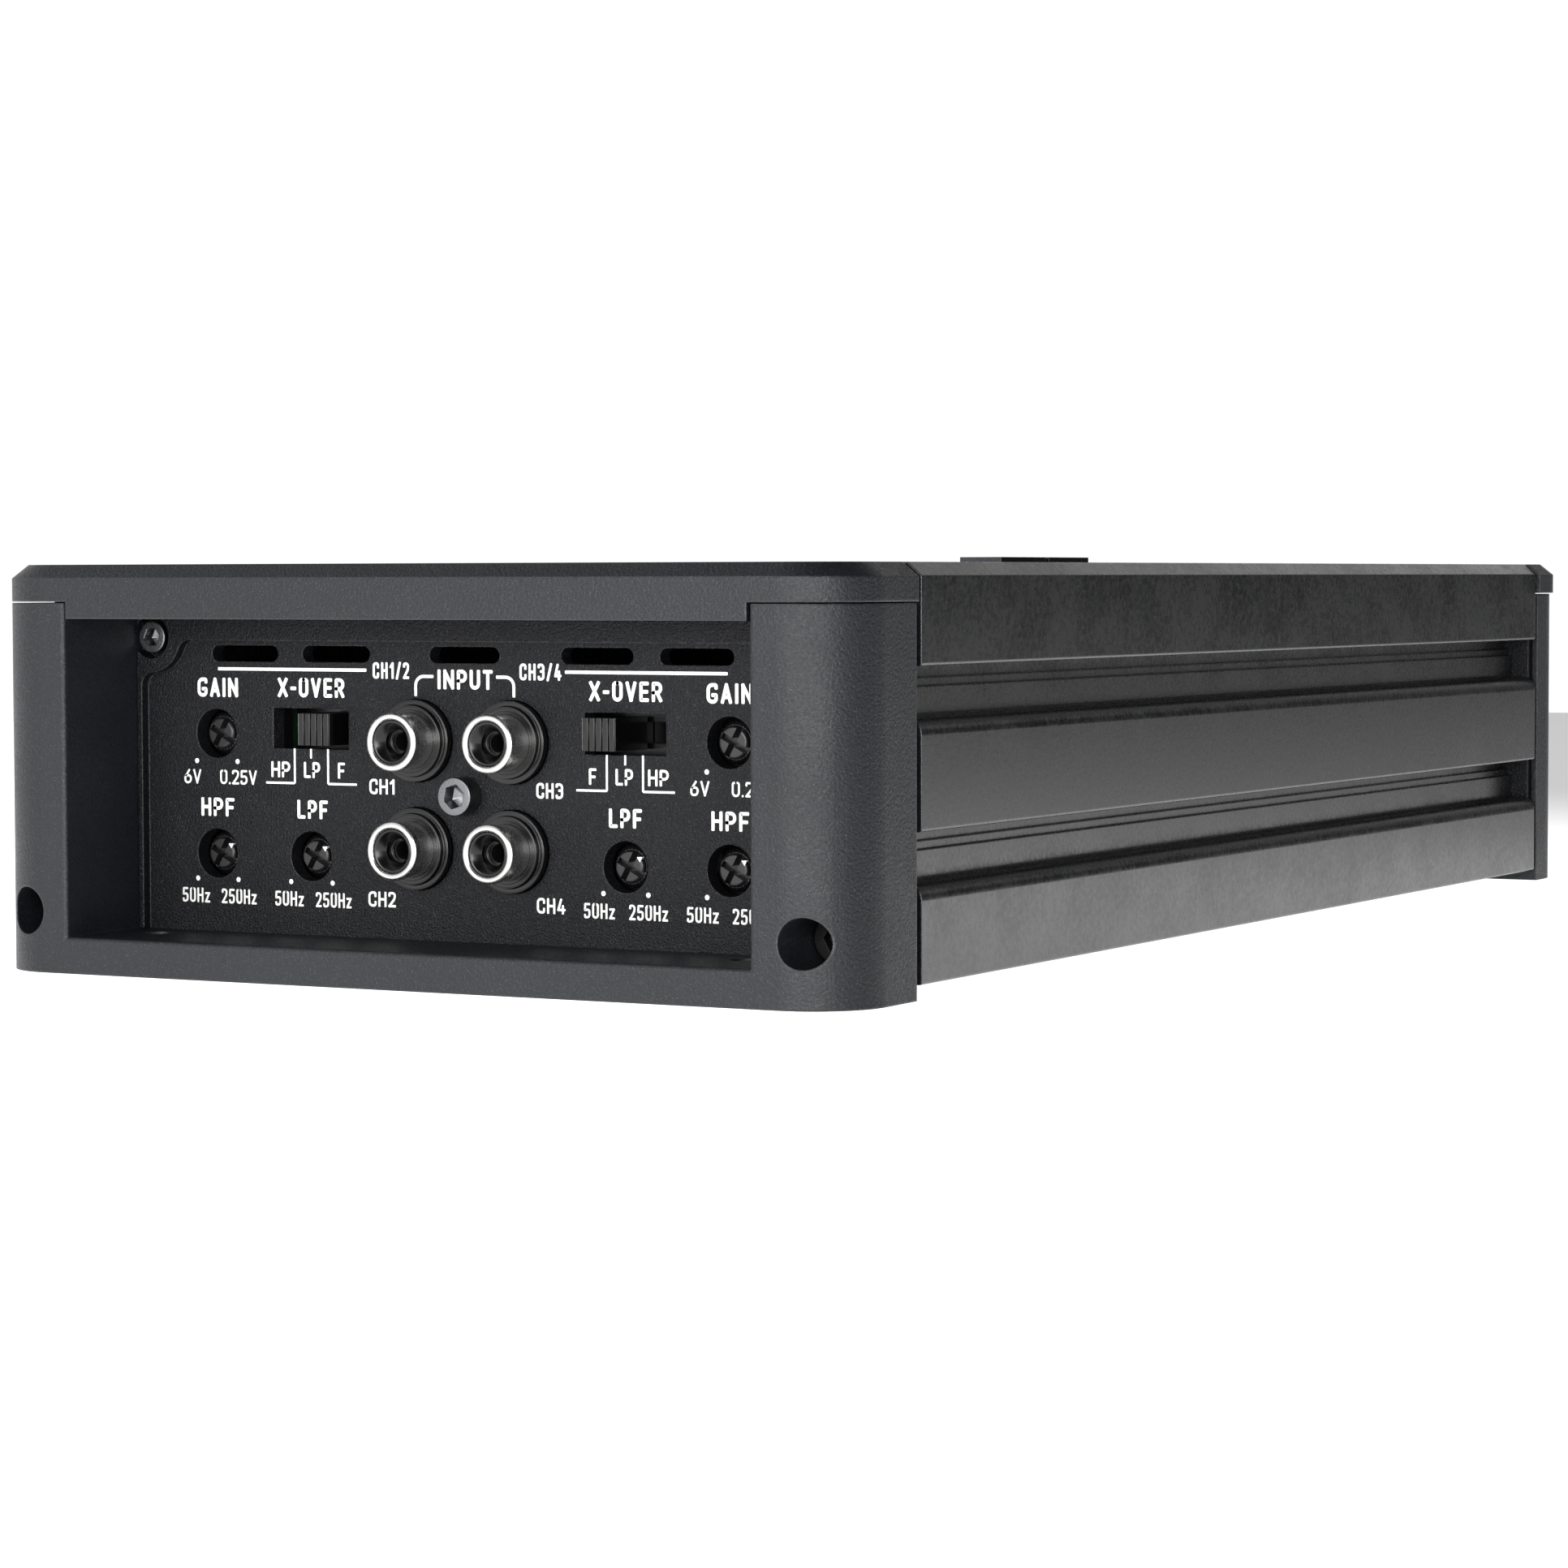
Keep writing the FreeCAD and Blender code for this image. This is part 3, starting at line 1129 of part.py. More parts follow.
def make_knob(name, across, up):
    """Cross-slotted knob on its own shaft, made on its axis and then moved to its place."""
    front = ("0", "front_face + knob_recess", "0")
    head = cylinder(name + "_head", front, "knob_d",
                    "pot_face - pot_gap - (front_face) - knob_recess")
    shaft = cylinder(name + "_shaft", ("0", "pot_face - pot_gap - 0.5", "0"), "pot_shaft_d",
                     "pot_gap + pot_shaft_length + 0.5")
    arms = []
    for label, size in (("level", ("knob_slot_reach", "knob_slot_depth", "knob_slot")),
                        ("plumb", ("knob_slot", "knob_slot_depth", "knob_slot_reach"))):
        at = ("0", "front_face + knob_recess", "0 - (%s) / 2" % size[2])
        arms.append(box(name + "_" + label, at, size))
    knob = cut(name, fuse(name + "_solid", [head, shaft]), arms)
    return place(knob, (across, "0", up), Rotation(Vector(0, 1, 0), number("knob_turn")))


def make_pots(name, kinds):
    """Square pot bodies on the control board, with a bore for each knob's shaft."""
    bodies = []
    for knob, across, up in knob_places():
        if not knob.startswith(kinds):
            continue
        base = box(knob + "_pot_base", (across, "pot_face", "%s - pot_body / 2" % up),
                   ("pot_body", "pot_depth", "pot_body"))
        bore = cylinder(knob + "_pot_bore", (across, "pot_face", up),
                        "pot_shaft_d + 2 * pot_shaft_fit", "pot_shaft_length + pot_gap")
        bodies.append(cut(knob + "_pot", base, [bore]))
    return group(name, bodies)


def make_switch(label, side):
    """Three-position slide switch: body with its track, and the slider at its full-range end."""
    middle = "%d * switch_across" % side
    rest = "%s - %d * switch_pitch" % (middle, side)
    name = "crossover_switch_body_" + label
    base = box(name + "_base", (middle, "switch_face", "switch_up - switch_body_height / 2"),
               ("switch_body_width", "switch_body_depth", "switch_body_height"))
    travel = "stem_size + 2 * switch_pitch + 2 * stem_fit"
    opening = "(stem_size + 2 * stem_fit)"
    track = box(name + "_track", (middle, "switch_face", "switch_up - %s / 2" % opening),
                (travel, "stem_depth + stem_fit", opening))
    body = cut(name, base, [track])
    name = "crossover_slider_" + label
    grip = box(name + "_grip", (rest, "front_face - slider_proud",
                                "switch_up - slider_height / 2"),
               ("slider_width", "switch_face - switch_gap - (front_face) + slider_proud",
                "slider_height"))
    stem = box(name + "_stem", (rest, "switch_face - switch_gap - 0.5",
                                "switch_up - stem_size / 2"),
               ("stem_size", "switch_gap + stem_depth + 0.5", "stem_size"))
    return [body, fuse(name, [grip, stem])]


# Boards and what stands on them


def standoff_places():
    """Places of the six board standoffs."""
    rows = screw_row("board_front + standoff_inset", "board_rear - standoff_inset", 3)
    return [("%d * (board_half - standoff_inset)" % side, along)
            for label, side in SIDES for along in rows]


def make_boards():
    """Upright control board, level main board, standoffs and screws."""
    control = box("control_board", ("0", "control_face", "control_board_bottom"),
                  ("2 * (wall_inner - control_board_margin)", "board_thickness",
                   "control_board_top - control_board_bottom"))
    main = box("main_board_sheet", ("0", "board_front", "main_board_up"),
               ("2 * (board_half)", "board_rear - (board_front)", "board_thickness"))
    holes, standoffs, screws = [], [], []
    for index, (across, along) in enumerate(standoff_places()):
        tag = str(index)
        holes.append(cylinder("main_board_hole_" + tag, (across, along, "main_board_up"),
                              "board_screw_d + 2 * rca_seat_fit", "board_thickness", UPRIGHT))
        post = cylinder("standoff_post_" + tag, (across, along, "plate_top"), "standoff_d",
                        "main_board_up - (plate_top)", UPRIGHT)
        bore = cylinder("standoff_bore_" + tag, (across, along, "plate_top"),
                        "board_screw_d + 2 * rca_seat_fit", "main_board_up - (plate_top)",
                        UPRIGHT)
        standoffs.append(cut("standoff_" + tag, post, [bore]))
        screws.append(cap_screw("board_screw_" + tag, (across, along, "board_top"),
                                Rotation(Vector(1, 0, 0), 180), "board_screw_d",
                                "board_thickness + 3", "board_screw_head_d",
                                "board_screw_head"))
    return [control, cut("main_board", main, holes), group("board_standoffs", standoffs),
            group("board_screws", screws)]


def ring(name, at, outside, hole, height):
    """Upright ring with a straight hole."""
    return cut(name, cylinder(name + "_outside", at, outside, height, UPRIGHT),
               [cylinder(name + "_hole", at, hole, height, UPRIGHT)])


def make_wound_ring(name, across, along, outside, hole, height):
    """Ferrite ring and the wire wound all round it."""
    core_at = (across, along, "board_top + winding_wall")
    core_size = ("%s - 2 * winding_wall" % outside, "%s + 2 * winding_wall" % hole,
                 "%s - 2 * winding_wall" % height)
    core = ring(name + "_core", core_at, *core_size)
    cavity = ring(name + "_cavity", core_at, *core_size)
    wire = ring(name + "_wire", (across, along, "board_top"), outside, hole, height)
    return [core, cut(name + "_winding", wire, [cavity])]


def make_inductors():
    """Four small output inductors in a row behind the control board."""
    rings = []
    for index in range(4):
        across = "%s * inductor_pitch" % (index - 1.5)
        rings.append(ring("output_inductor_%d" % index, (across, "inductor_along", "board_top"),
                          "inductor_d", "inductor_hole_d", "inductor_height"))
    return group("output_inductors", rings)


def make_capacitors():
    """Six filter capacitors in two rows."""
    cans = []
    for row in range(2):
        for column in range(3):
            at = ("%d * capacitor_pitch" % (column - 1),
                  "capacitor_along + %d * capacitor_pitch" % row, "board_top")
            cans.append(cylinder("capacitor_%d_%d" % (row, column), at, "capacitor_d",
                                 "capacitor_height", UPRIGHT))
    return group("filter_capacitors", cans)


TRANSISTORS = 6


def transistor_places():
    """Places along Y of one side's transistors."""
    return ["transistor_along + %d * transistor_pitch" % index for index in range(TRANSISTORS)]


def clamp_screw_places():
    """Places along Y of one side's clamp screws, each between two transistors."""
    return ["transistor_along + %s * transistor_pitch" % gap for gap in (0.5, 2.5, 4.5)]


def make_transistors(label, side):
    """Power transistors against one side wall, each with three leads to the board."""
    middle = "%d * (transistor_face + transistor_thickness / 2)" % side
    pieces = []
    for index, along in enumerate(transistor_places()):
        tag = "%s_%d" % (label, index)
        solids = [box("transistor_body_" + tag,
                      (middle, "%s - transistor_width / 2" % along, "transistor_up"),
                      ("transistor_thickness", "transistor_width", "transistor_height"))]
        for lead in (-1, 0, 1):
            at = (middle, "%s + %d * lead_pitch - lead_size / 2" % (along, lead), "board_top")
            solids.append(box("transistor_lead_%s_%d" % (tag, lead + 1), at,
                              ("lead_size", "lead_size", "transistor_up + 1 - (board_top)")))
        pieces.append(fuse("transistor_" + tag, solids))
    return group("transistors_" + label, pieces)


def make_clamp_bar(label, side):
    """Bar that presses one side's transistors against the wall."""
    middle = "%d * (transistor_face - clamp_thickness / 2)" % side
    start = "transistor_along - transistor_width"
    length = "%d * transistor_pitch + 2 * transistor_width" % (TRANSISTORS - 1)
    bar = box("clamp_bar_%s_stock" % label, (middle, start, "clamp_up - clamp_height / 2"),
              ("clamp_thickness", length, "clamp_height"))
    holes = [cylinder("clamp_bar_hole_%s_%d" % (label, index),
                      ("%s - clamp_thickness" % middle, along, "clamp_up"),
                      "clamp_screw_d + 2 * rca_fit", "2 * clamp_thickness", ALONG_X)
             for index, along in enumerate(clamp_screw_places())]
    return cut("clamp_bar_" + label, bar, holes)


def make_clamp_screws():
    """Cap screws through the clamp bars into the side walls."""
    screws = []
    for label, side in SIDES:
        turn = ALONG_X if side > 0 else Rotation(Vector(0, 1, 0), -90)
        for index, along in enumerate(clamp_screw_places()):
            at = ("%d * (transistor_face - clamp_thickness)" % side, along, "clamp_up")
            screws.append(cap_screw("clamp_screw_%s_%d" % (label, index), at, turn,
                                    "clamp_screw_d",
                                    "clamp_thickness + transistor_thickness + pad_thickness"
                                    " + clamp_screw_bite", "clamp_screw_head_d",
                                    "clamp_screw_head"))
    return group("clamp_screws", screws)


# Terminals, fuses and lamps at the rear end


def make_terminal_block(name, middle, places, half, height, bore_up, bore_d, screw_d):
    """Moulded block with wire holes from face to back and set screws from above."""
    base = box(name + "_block_base", (middle, "terminal_back", "terminal_up"),
               ("2 * (%s)" % half, "terminal_face - (terminal_back)", height))
    top = "terminal_up + %s" % height
    along = "terminal_face - set_screw_back"
    tools, screws = [], []
    for index, across in enumerate(places):
        tag = "%s_%d" % (name, index)
        tools.append(cylinder(tag + "_bore",
                              (across, "terminal_back", "terminal_up + %s" % bore_up), bore_d,
                              "terminal_face - (terminal_back)"))
        tools.append(cylinder(tag + "_thread", (across, along, "terminal_up + %s" % bore_up),
                              "%s + 2 * set_screw_fit" % screw_d,
                              "%s - %s" % (height, bore_up), UPRIGHT))
        low = "%s - set_screw_sunk - set_screw_length" % top
        plug = cylinder(tag + "_plug", (across, along, low), screw_d, "set_screw_length",
                        UPRIGHT)
        socket = hexagon(tag + "_socket",
                         (across, along, "%s + 0.5 * set_screw_length" % low),
                         "0.6 * (%s)" % screw_d, "0.5 * set_screw_length", UPRIGHT)
        screws.append(cut(tag + "_screw", plug, [socket]))
    return [cut(name + "_terminal_block", base, tools), group(name + "_terminal_screws", screws)]


def make_terminals():
    """Three power terminals on the left, eight speaker terminals on the right."""
    power = ["0 - power_across + %d * power_pitch" % index for index in (-1, 0, 1)]
    speaker = ["speaker_across + %s * speaker_pitch" % (index - 3.5) for index in range(8)]
    return (make_terminal_block("power", "0 - power_across", power, "power_half",
                                "power_height", "power_bore_up", "power_bore_d",
                                "power_screw_d")
            + make_terminal_block("speaker", "speaker_across", speaker, "speaker_half",
                                  "speaker_height", "speaker_bore_up", "speaker_bore_d",
                                  "speaker_screw_d"))


def fuse_places():
    """Names and places across of the two fuses."""
    return [("blade_fuse_left", "fuse_across - fuse_pitch / 2"),
            ("blade_fuse_right", "fuse_across + fuse_pitch / 2")]


def make_fuses():
    """Fuse holder and two blade fuses that pull out of it."""
    depth = "fuse_sunk + blade_length + holder_wall"
    base = box("fuse_holder_base",
               ("fuse_across", "holder_face - (%s)" % depth,
                "fuse_up - fuse_height / 2 - holder_wall"),
               ("2 * (holder_half)", depth, "fuse_height + 2 * holder_wall"))
    pockets, fuses = [], []
    for name, across in fuse_places():
        low = "fuse_up - fuse_height / 2"
        pockets.append(box(name + "_pocket", (across, "fuse_back - fuse_fit", low + " - fuse_fit"),
                           ("fuse_width + 2 * fuse_fit", "fuse_sunk + fuse_fit",
                            "fuse_height + 2 * fuse_fit")))
        solids = [box(name + "_body", (across, "fuse_back", low),
                      ("fuse_width", "fuse_depth", "fuse_height"))]
        for label, side in SIDES:
            middle = "%s + %d * blade_spread / 2" % (across, side)
            solids.append(box(name + "_blade_" + label,
                              (middle, "fuse_back - blade_length",
                               "fuse_up - blade_thickness / 2"),
                              ("blade_width", "blade_length + 1", "blade_thickness")))
            pockets.append(box(name + "_slot_" + label,
                               (middle, "fuse_back - blade_length - blade_fit",
                                "fuse_up - blade_thickness / 2 - blade_fit"),
                               ("blade_width + 2 * blade_fit", "blade_length + blade_fit",
                                "blade_thickness + 2 * blade_fit")))
        fuses.append(fuse(name, solids))
    return [cut("fuse_holder", base, pockets)] + fuses


def lamp_places():
    """Names and places across of the two lamps."""
    return [("power_lamp", "0 - led_across - led_pitch / 2"),
            ("protect_lamp", "0 - led_across + led_pitch / 2")]


def make_lamps():
    """Indicator lamps: a round body with a domed end."""
    lamps = []
    for name, across in lamp_places():
        end = "rear_face + led_proud - led_d / 2"
        stem = cylinder(name + "_stem", (across, "%s - led_length" % end, "led_up"), "led_d",
                        "led_length")
        dome = doc.addObject("Part::Sphere", name + "_dome")
        bind(dome, "Radius", "led_d / 2")
        place(dome, (across, end, "led_up"))
        lamps.append(fuse(name, [stem, dome]))
    return lamps


def make_jack_screw():
    """Cap screw that holds the jack block to the panel, with its head on the panel."""
    return cap_screw("rca_block_screw", ("0", "front_face", "rca_middle_up"), ALONG_Y,
                     "rca_screw_d", "panel_thickness + rca_screw_grip - 1", "rca_screw_head_d",
                     "rca_screw_head")


def settle(part):
    """Move a finished sub-part so that the origin lies in the middle of the footprint."""
    rules = dict(part.ExpressionEngine)
    along = rules.get(".Placement.Base.y", rules.get("Placement.Base.y", "0"))
    part.setExpression("Placement.Base.y", along + " - sizes.overall_length / 2")


def make_amplifier():
    """Every sub-part, in the order in which it is put together."""
    heatsink = make_heatsink()
    drill_heatsink(heatsink)
    parts = [heatsink, make_bottom_plate(), make_bottom_plate_screws()]
    parts += make_badges()
    for end in ("front", "rear"):
        parts += [make_frame(end), make_hood(end)]
    parts += [make_frame_screws(), make_front_panel(), make_rear_panel(), make_panel_screws()]
    parts += [make_jack_block(), make_jack_contacts(), make_jack_screw()]
    for name, across, up in jack_places():
        parts += make_jack(name, across, up)
    for name, across, up in knob_places():
        parts.append(make_knob(name, across, up))
    parts += [make_pots("gain_pots", ("gain",)), make_pots("filter_pots", ("high", "low"))]
    for label, side in SIDES:
        parts += make_switch(label, side)
    parts += make_boards()
    parts += make_wound_ring("transformer", "0", "transformer_along", "transformer_d",
                             "transformer_hole_d", "transformer_height")
    parts += make_wound_ring("choke", "choke_across", "choke_along", "choke_d",
                             "choke_hole_d", "choke_height")
    parts += [make_inductors(), make_capacitors()]
    for label, side in SIDES:
        parts += [make_transistors(label, side), make_clamp_bar(label, side)]
    parts.append(make_clamp_screws())
    parts += make_terminals() + make_fuses() + make_lamps()
    for part in parts:
        settle(part)
    return parts


def check(parts):
    """Stop if any object failed, or if a sub-part has no valid solid."""
    for thing in doc.Objects:
        if "Invalid" in thing.State or "Error" in thing.State:
            raise RuntimeError("%s: %s" % (thing.Name, thing.getStatusString()))
    for part in parts:
        shape = part.Shape
        if shape.isNull() or not shape.isValid() or not shape.Solids:
            raise RuntimeError(part.Label + " has no valid solid")


amplifier = make_amplifier()
doc.recompute()
check(amplifier)
os.makedirs("parts", exist_ok=True)
for part in amplifier:
    part.Shape.exportStep("parts/%s.step" % part.Label)
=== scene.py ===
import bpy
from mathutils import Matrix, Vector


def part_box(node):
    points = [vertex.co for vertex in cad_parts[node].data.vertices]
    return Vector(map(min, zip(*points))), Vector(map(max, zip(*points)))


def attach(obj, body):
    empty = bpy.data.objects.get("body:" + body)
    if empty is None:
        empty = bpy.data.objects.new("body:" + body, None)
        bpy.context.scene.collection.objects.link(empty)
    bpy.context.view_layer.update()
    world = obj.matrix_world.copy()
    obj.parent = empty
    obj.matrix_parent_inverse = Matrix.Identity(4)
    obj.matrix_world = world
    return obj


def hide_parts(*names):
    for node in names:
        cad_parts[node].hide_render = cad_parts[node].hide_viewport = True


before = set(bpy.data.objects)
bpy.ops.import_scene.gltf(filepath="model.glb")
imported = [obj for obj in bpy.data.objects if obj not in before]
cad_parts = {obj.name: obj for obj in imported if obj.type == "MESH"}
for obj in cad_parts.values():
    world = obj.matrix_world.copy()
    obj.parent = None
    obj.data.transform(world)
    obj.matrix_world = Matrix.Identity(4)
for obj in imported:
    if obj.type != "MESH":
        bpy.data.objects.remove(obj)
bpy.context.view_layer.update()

import math

import bmesh
import bpy
import numpy as np
from bpy.props import FloatProperty, FloatVectorProperty, IntProperty, PointerProperty
from mathutils import Matrix, Vector

bl_info = {
    "name": "Car Amplifier Looks",
    "version": (1, 0, 0),
    "blender": (4, 5, 0),
    "location": "3D View > Sidebar > Amplifier",
    "description": "Finishes, legends and small fittings of a four-channel car amplifier",
    "category": "Object",
}

MM = 0.001
CHASSIS = "chassis"
SIDES = ("left", "right")
CHANNELS = ("ch1", "ch2", "ch3", "ch4")
KNOBS = tuple("%s_knob_%s" % (kind, side) for kind in ("gain", "high_pass", "low_pass")
              for side in SIDES)
KNOB_TURN = math.radians(29)
POINTER_TURN = math.radians(34)
PANEL_BORDER = 1.6 * MM


def linear(hex_colour):
    """Linear red, green, blue and alpha of an sRGB hex colour."""
    channels = np.array([int(hex_colour[i:i + 2], 16) for i in (1, 3, 5)]) / 255
    low = channels / 12.92
    high = ((channels + 0.055) / 1.055) ** 2.4
    return (*np.where(channels <= 0.04045, low, high).tolist(), 1.0)


# Settings


def colour(name, description, hex_colour):
    """A colour setting."""
    return FloatVectorProperty(name=name, description=description, subtype="COLOR", size=4,
                               min=0, max=1, default=linear(hex_colour))


def length(name, description, millimetres):
    """A length setting, given in millimetres and kept in metres."""
    return FloatProperty(name=name, description=description, unit="LENGTH",
                         default=millimetres * MM, precision=5)


def share(name, description, value):
    """A setting from 0 to 1."""
    return FloatProperty(name=name, description=description, subtype="FACTOR", min=0, max=1,
                         default=value)


class FinishSettings(bpy.types.PropertyGroup):
    """Colours and grain of the surfaces."""

    casting: colour("Casting", "Powder coat on the end frames and hoods", "#17191d")
    # The lighter flecks are painted glints on the coat's texture.
    casting_glint_fleck: colour("Casting fleck", "Lighter flecks in the powder coat", "#54575e")
    casting_grain: length("Casting grain", "Size of the powder coat's bumps", 0.42)
    casting_roughness: share("Casting roughness", "Roughness of the powder coat", 0.44)
    extrusion: colour("Extrusion", "Coat of the heatsink", "#111214")
    extrusion_grain: length("Extrusion grain", "Size of the heatsink's leather grain", 0.8)
    extrusion_roughness: share("Extrusion roughness", "Roughness of the heatsink", 0.27)
    panel: colour("Panel", "Moulded end panels", "#101114")
    panel_grain: length("Panel grain", "Size of the panel's spark-eroded grain", 0.3)
    ink: colour("Ink", "Screen-printed legends", "#f2f2f0")
    nickel: colour("Nickel", "Plating of the jacks", "#dddcda")
    zinc: colour("Zinc", "Plating of the screws", "#77787a")
    moulding: colour("Moulding", "Black moulded plastic", "#101012")


class FittingSettings(bpy.types.PropertyGroup):
    """Sizes of the small fittings that the looks add to."""

    rim_round: length("Jack rim", "Rounding of a jack's rim", 0.2)
    collar_round: length("Collar edge", "Rounding of a jack collar's edges", 0.22)
    knob_teeth: IntProperty(name="Knob teeth", description="Teeth round a knob's crown",
                            default=28, min=8)
    knob_tooth: length("Knob tooth", "Height of a knob's teeth", 0.22)
    knob_flange: length("Knob flange", "Toothed flange beyond a knob's crown", 0.72)
    rib_count: IntProperty(name="Slider ribs", description="Ribs across a slider's grip",
                           default=5, min=1)
    rib_depth: length("Rib depth", "Depth of the grooves between a slider's ribs", 0.25)
    ink_thickness: length("Ink thickness", "How far the legends stand off the panel", 0.02)


class StageSettings(bpy.types.PropertyGroup):
    """Camera, lights and floor."""

    camera: FloatVectorProperty(name="Camera", description="Camera position", unit="LENGTH",
                                default=(0.32785, -0.63695, 0.05671))
    turn: FloatProperty(name="Turn", description="Camera's turn about the upright",
                        subtype="ANGLE", default=math.radians(28.49))
    dip: FloatProperty(name="Dip", description="Camera's downward tilt", subtype="ANGLE",
                       default=math.radians(2.76))
    roll: FloatProperty(name="Roll", description="Camera's roll", subtype="ANGLE",
                        default=math.radians(-0.14))
    lens: FloatProperty(name="Lens", description="Focal length on a 36 mm sensor, in mm",
                        default=98.48)
    floor: colour("Floor", "Pale floor", "#ececec")
    key_power: FloatProperty(name="Key", description="Large soft light at the input end",
                             unit="POWER", default=9.5)
    strip_power: FloatProperty(name="Strip", description="Upright light at the front right",
                               unit="POWER", default=6.0)
    side_power: FloatProperty(name="Rim", description="Small light high behind on the right",
                              unit="POWER", default=1.0)
    sky: share("Sky", "Brightness of the room around the table", 0.02)
    fill: share("Fill", "Brightness of the white screen at the front left", 0.95)


# Surfaces


def skin(points, wrap_rows=False, wrap_columns=False):
    """Grid of points, rows by columns, as vertices and quads; either way may close on itself."""
    rows, columns = points.shape[:2]
    index = np.arange(rows * columns).reshape(rows, columns)
    if wrap_rows:
        index = np.vstack([index, index[:1]])
    if wrap_columns:
        index = np.hstack([index, index[:, :1]])
    quads = np.stack([index[:-1, :-1], index[:-1, 1:], index[1:, 1:], index[1:, :-1]], -1)
    return points.reshape(-1, 3), quads.reshape(-1, 4)


def joined(patches):
    """Several patches as one."""
    starts = np.cumsum([0] + [len(points) for points, quads in patches[:-1]])
    points = np.vstack([points for points, quads in patches])
    quads = np.vstack([quads + start for (_, quads), start in zip(patches, starts)])
    return points, quads


def moved(patch, to, turn=0.0, towards=1):
    """Patch turned by an angle about the Y axis, faced towards +Y or -Y, and carried to a point."""
    points, quads = patch
    spin = np.array([[math.cos(turn), 0, math.sin(turn)], [0, 1, 0],
                     [-math.sin(turn), 0, math.cos(turn)]])
    return (points @ spin.T) * (1, towards, 1) + np.array(to), quads


def turned(profile, segments=96, ripple=None):
    """Surface of revolution about the Y axis.

    Each profile point (radius, distance) goes round a circle: x = radius cos a, y = distance,
    z = radius sin a. A ripple adds its own radius at each angle, by the third profile column.
    """
    angle = np.linspace(0, 2 * math.pi, segments, endpoint=False)
    profile = np.asarray(profile, float)
    radius = profile[:, :1] + np.zeros_like(angle)
    if ripple is not None:
        radius = radius + profile[:, 2:3] * ripple(angle)
    along = profile[:, 1:2] + np.zeros_like(angle)
    return skin(np.stack([radius * np.cos(angle), along, radius * np.sin(angle)], -1),
                wrap_columns=True)


def arc(middle, radius, start, end, steps=8):
    """Points of an arc in a profile: middle plus radius times cosine and sine, in degrees."""
    angle = np.radians(np.linspace(start, end, steps))
    return np.stack([middle[0] + radius * np.cos(angle), middle[1] + radius * np.sin(angle)], -1)


def piece(name, patch, material, body=CHASSIS, stands_for=(), crease=35):
    """Make a mesh object of a patch, close its seams, and hand it to its body."""
    points, quads = patch
    mesh = bpy.data.meshes.new(name)
    mesh.vertices.add(len(points))
    mesh.vertices.foreach_set("co", points.astype(np.float32).ravel())
    mesh.loops.add(quads.size)
    mesh.loops.foreach_set("vertex_index", quads.astype(np.int32).ravel())
    mesh.polygons.add(len(quads))
    mesh.polygons.foreach_set("loop_start", np.arange(0, quads.size, 4, dtype=np.int32))
    mesh.update(calc_edges=True)
    working = bmesh.new()
    working.from_mesh(mesh)
    bmesh.ops.remove_doubles(working, verts=working.verts, dist=2e-7)
    bmesh.ops.dissolve_degenerate(working, edges=working.edges, dist=1e-8)
    bmesh.ops.recalc_face_normals(working, faces=working.faces)
    working.to_mesh(mesh)
    working.free()
    mesh.validate()
    mesh.shade_smooth()
    mesh.set_sharp_from_angle(angle=math.radians(crease))
    mesh.materials.append(material)
    thing = bpy.data.objects.new(name, mesh)
    bpy.context.scene.collection.objects.link(thing)
    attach(thing, body)
    if stands_for:
        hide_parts(*stands_for)
    return thing


def middle_of(node):
    """Middle, lowest and highest corner of a CAD node, as arrays."""
    low, high = (np.array(corner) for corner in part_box(node))
    return (low + high) / 2, low, high


# Finishes


def add(tree, kind, inputs=None, **settings):
    """Add a node, set its options, and fill its inputs with values or with other sockets."""
    node = tree.nodes.new(kind)
    for name, value in settings.items():
        setattr(node, name, value)
    for name, value in (inputs or {}).items():
        if isinstance(value, bpy.types.NodeSocket):
            tree.links.new(value, node.inputs[name])
        else:
            node.inputs[name].default_value = value
    return node


def blank(name):
    """A material with a surface shader and nothing else, its tree and the shader."""
    material = bpy.data.materials.new(name)
    material.use_nodes = True
    tree = material.node_tree
    tree.nodes.clear()
    shader = add(tree, "ShaderNodeBsdfPrincipled")
    add(tree, "ShaderNodeOutputMaterial", {"Surface": shader.outputs["BSDF"]})
    return material, tree, shader


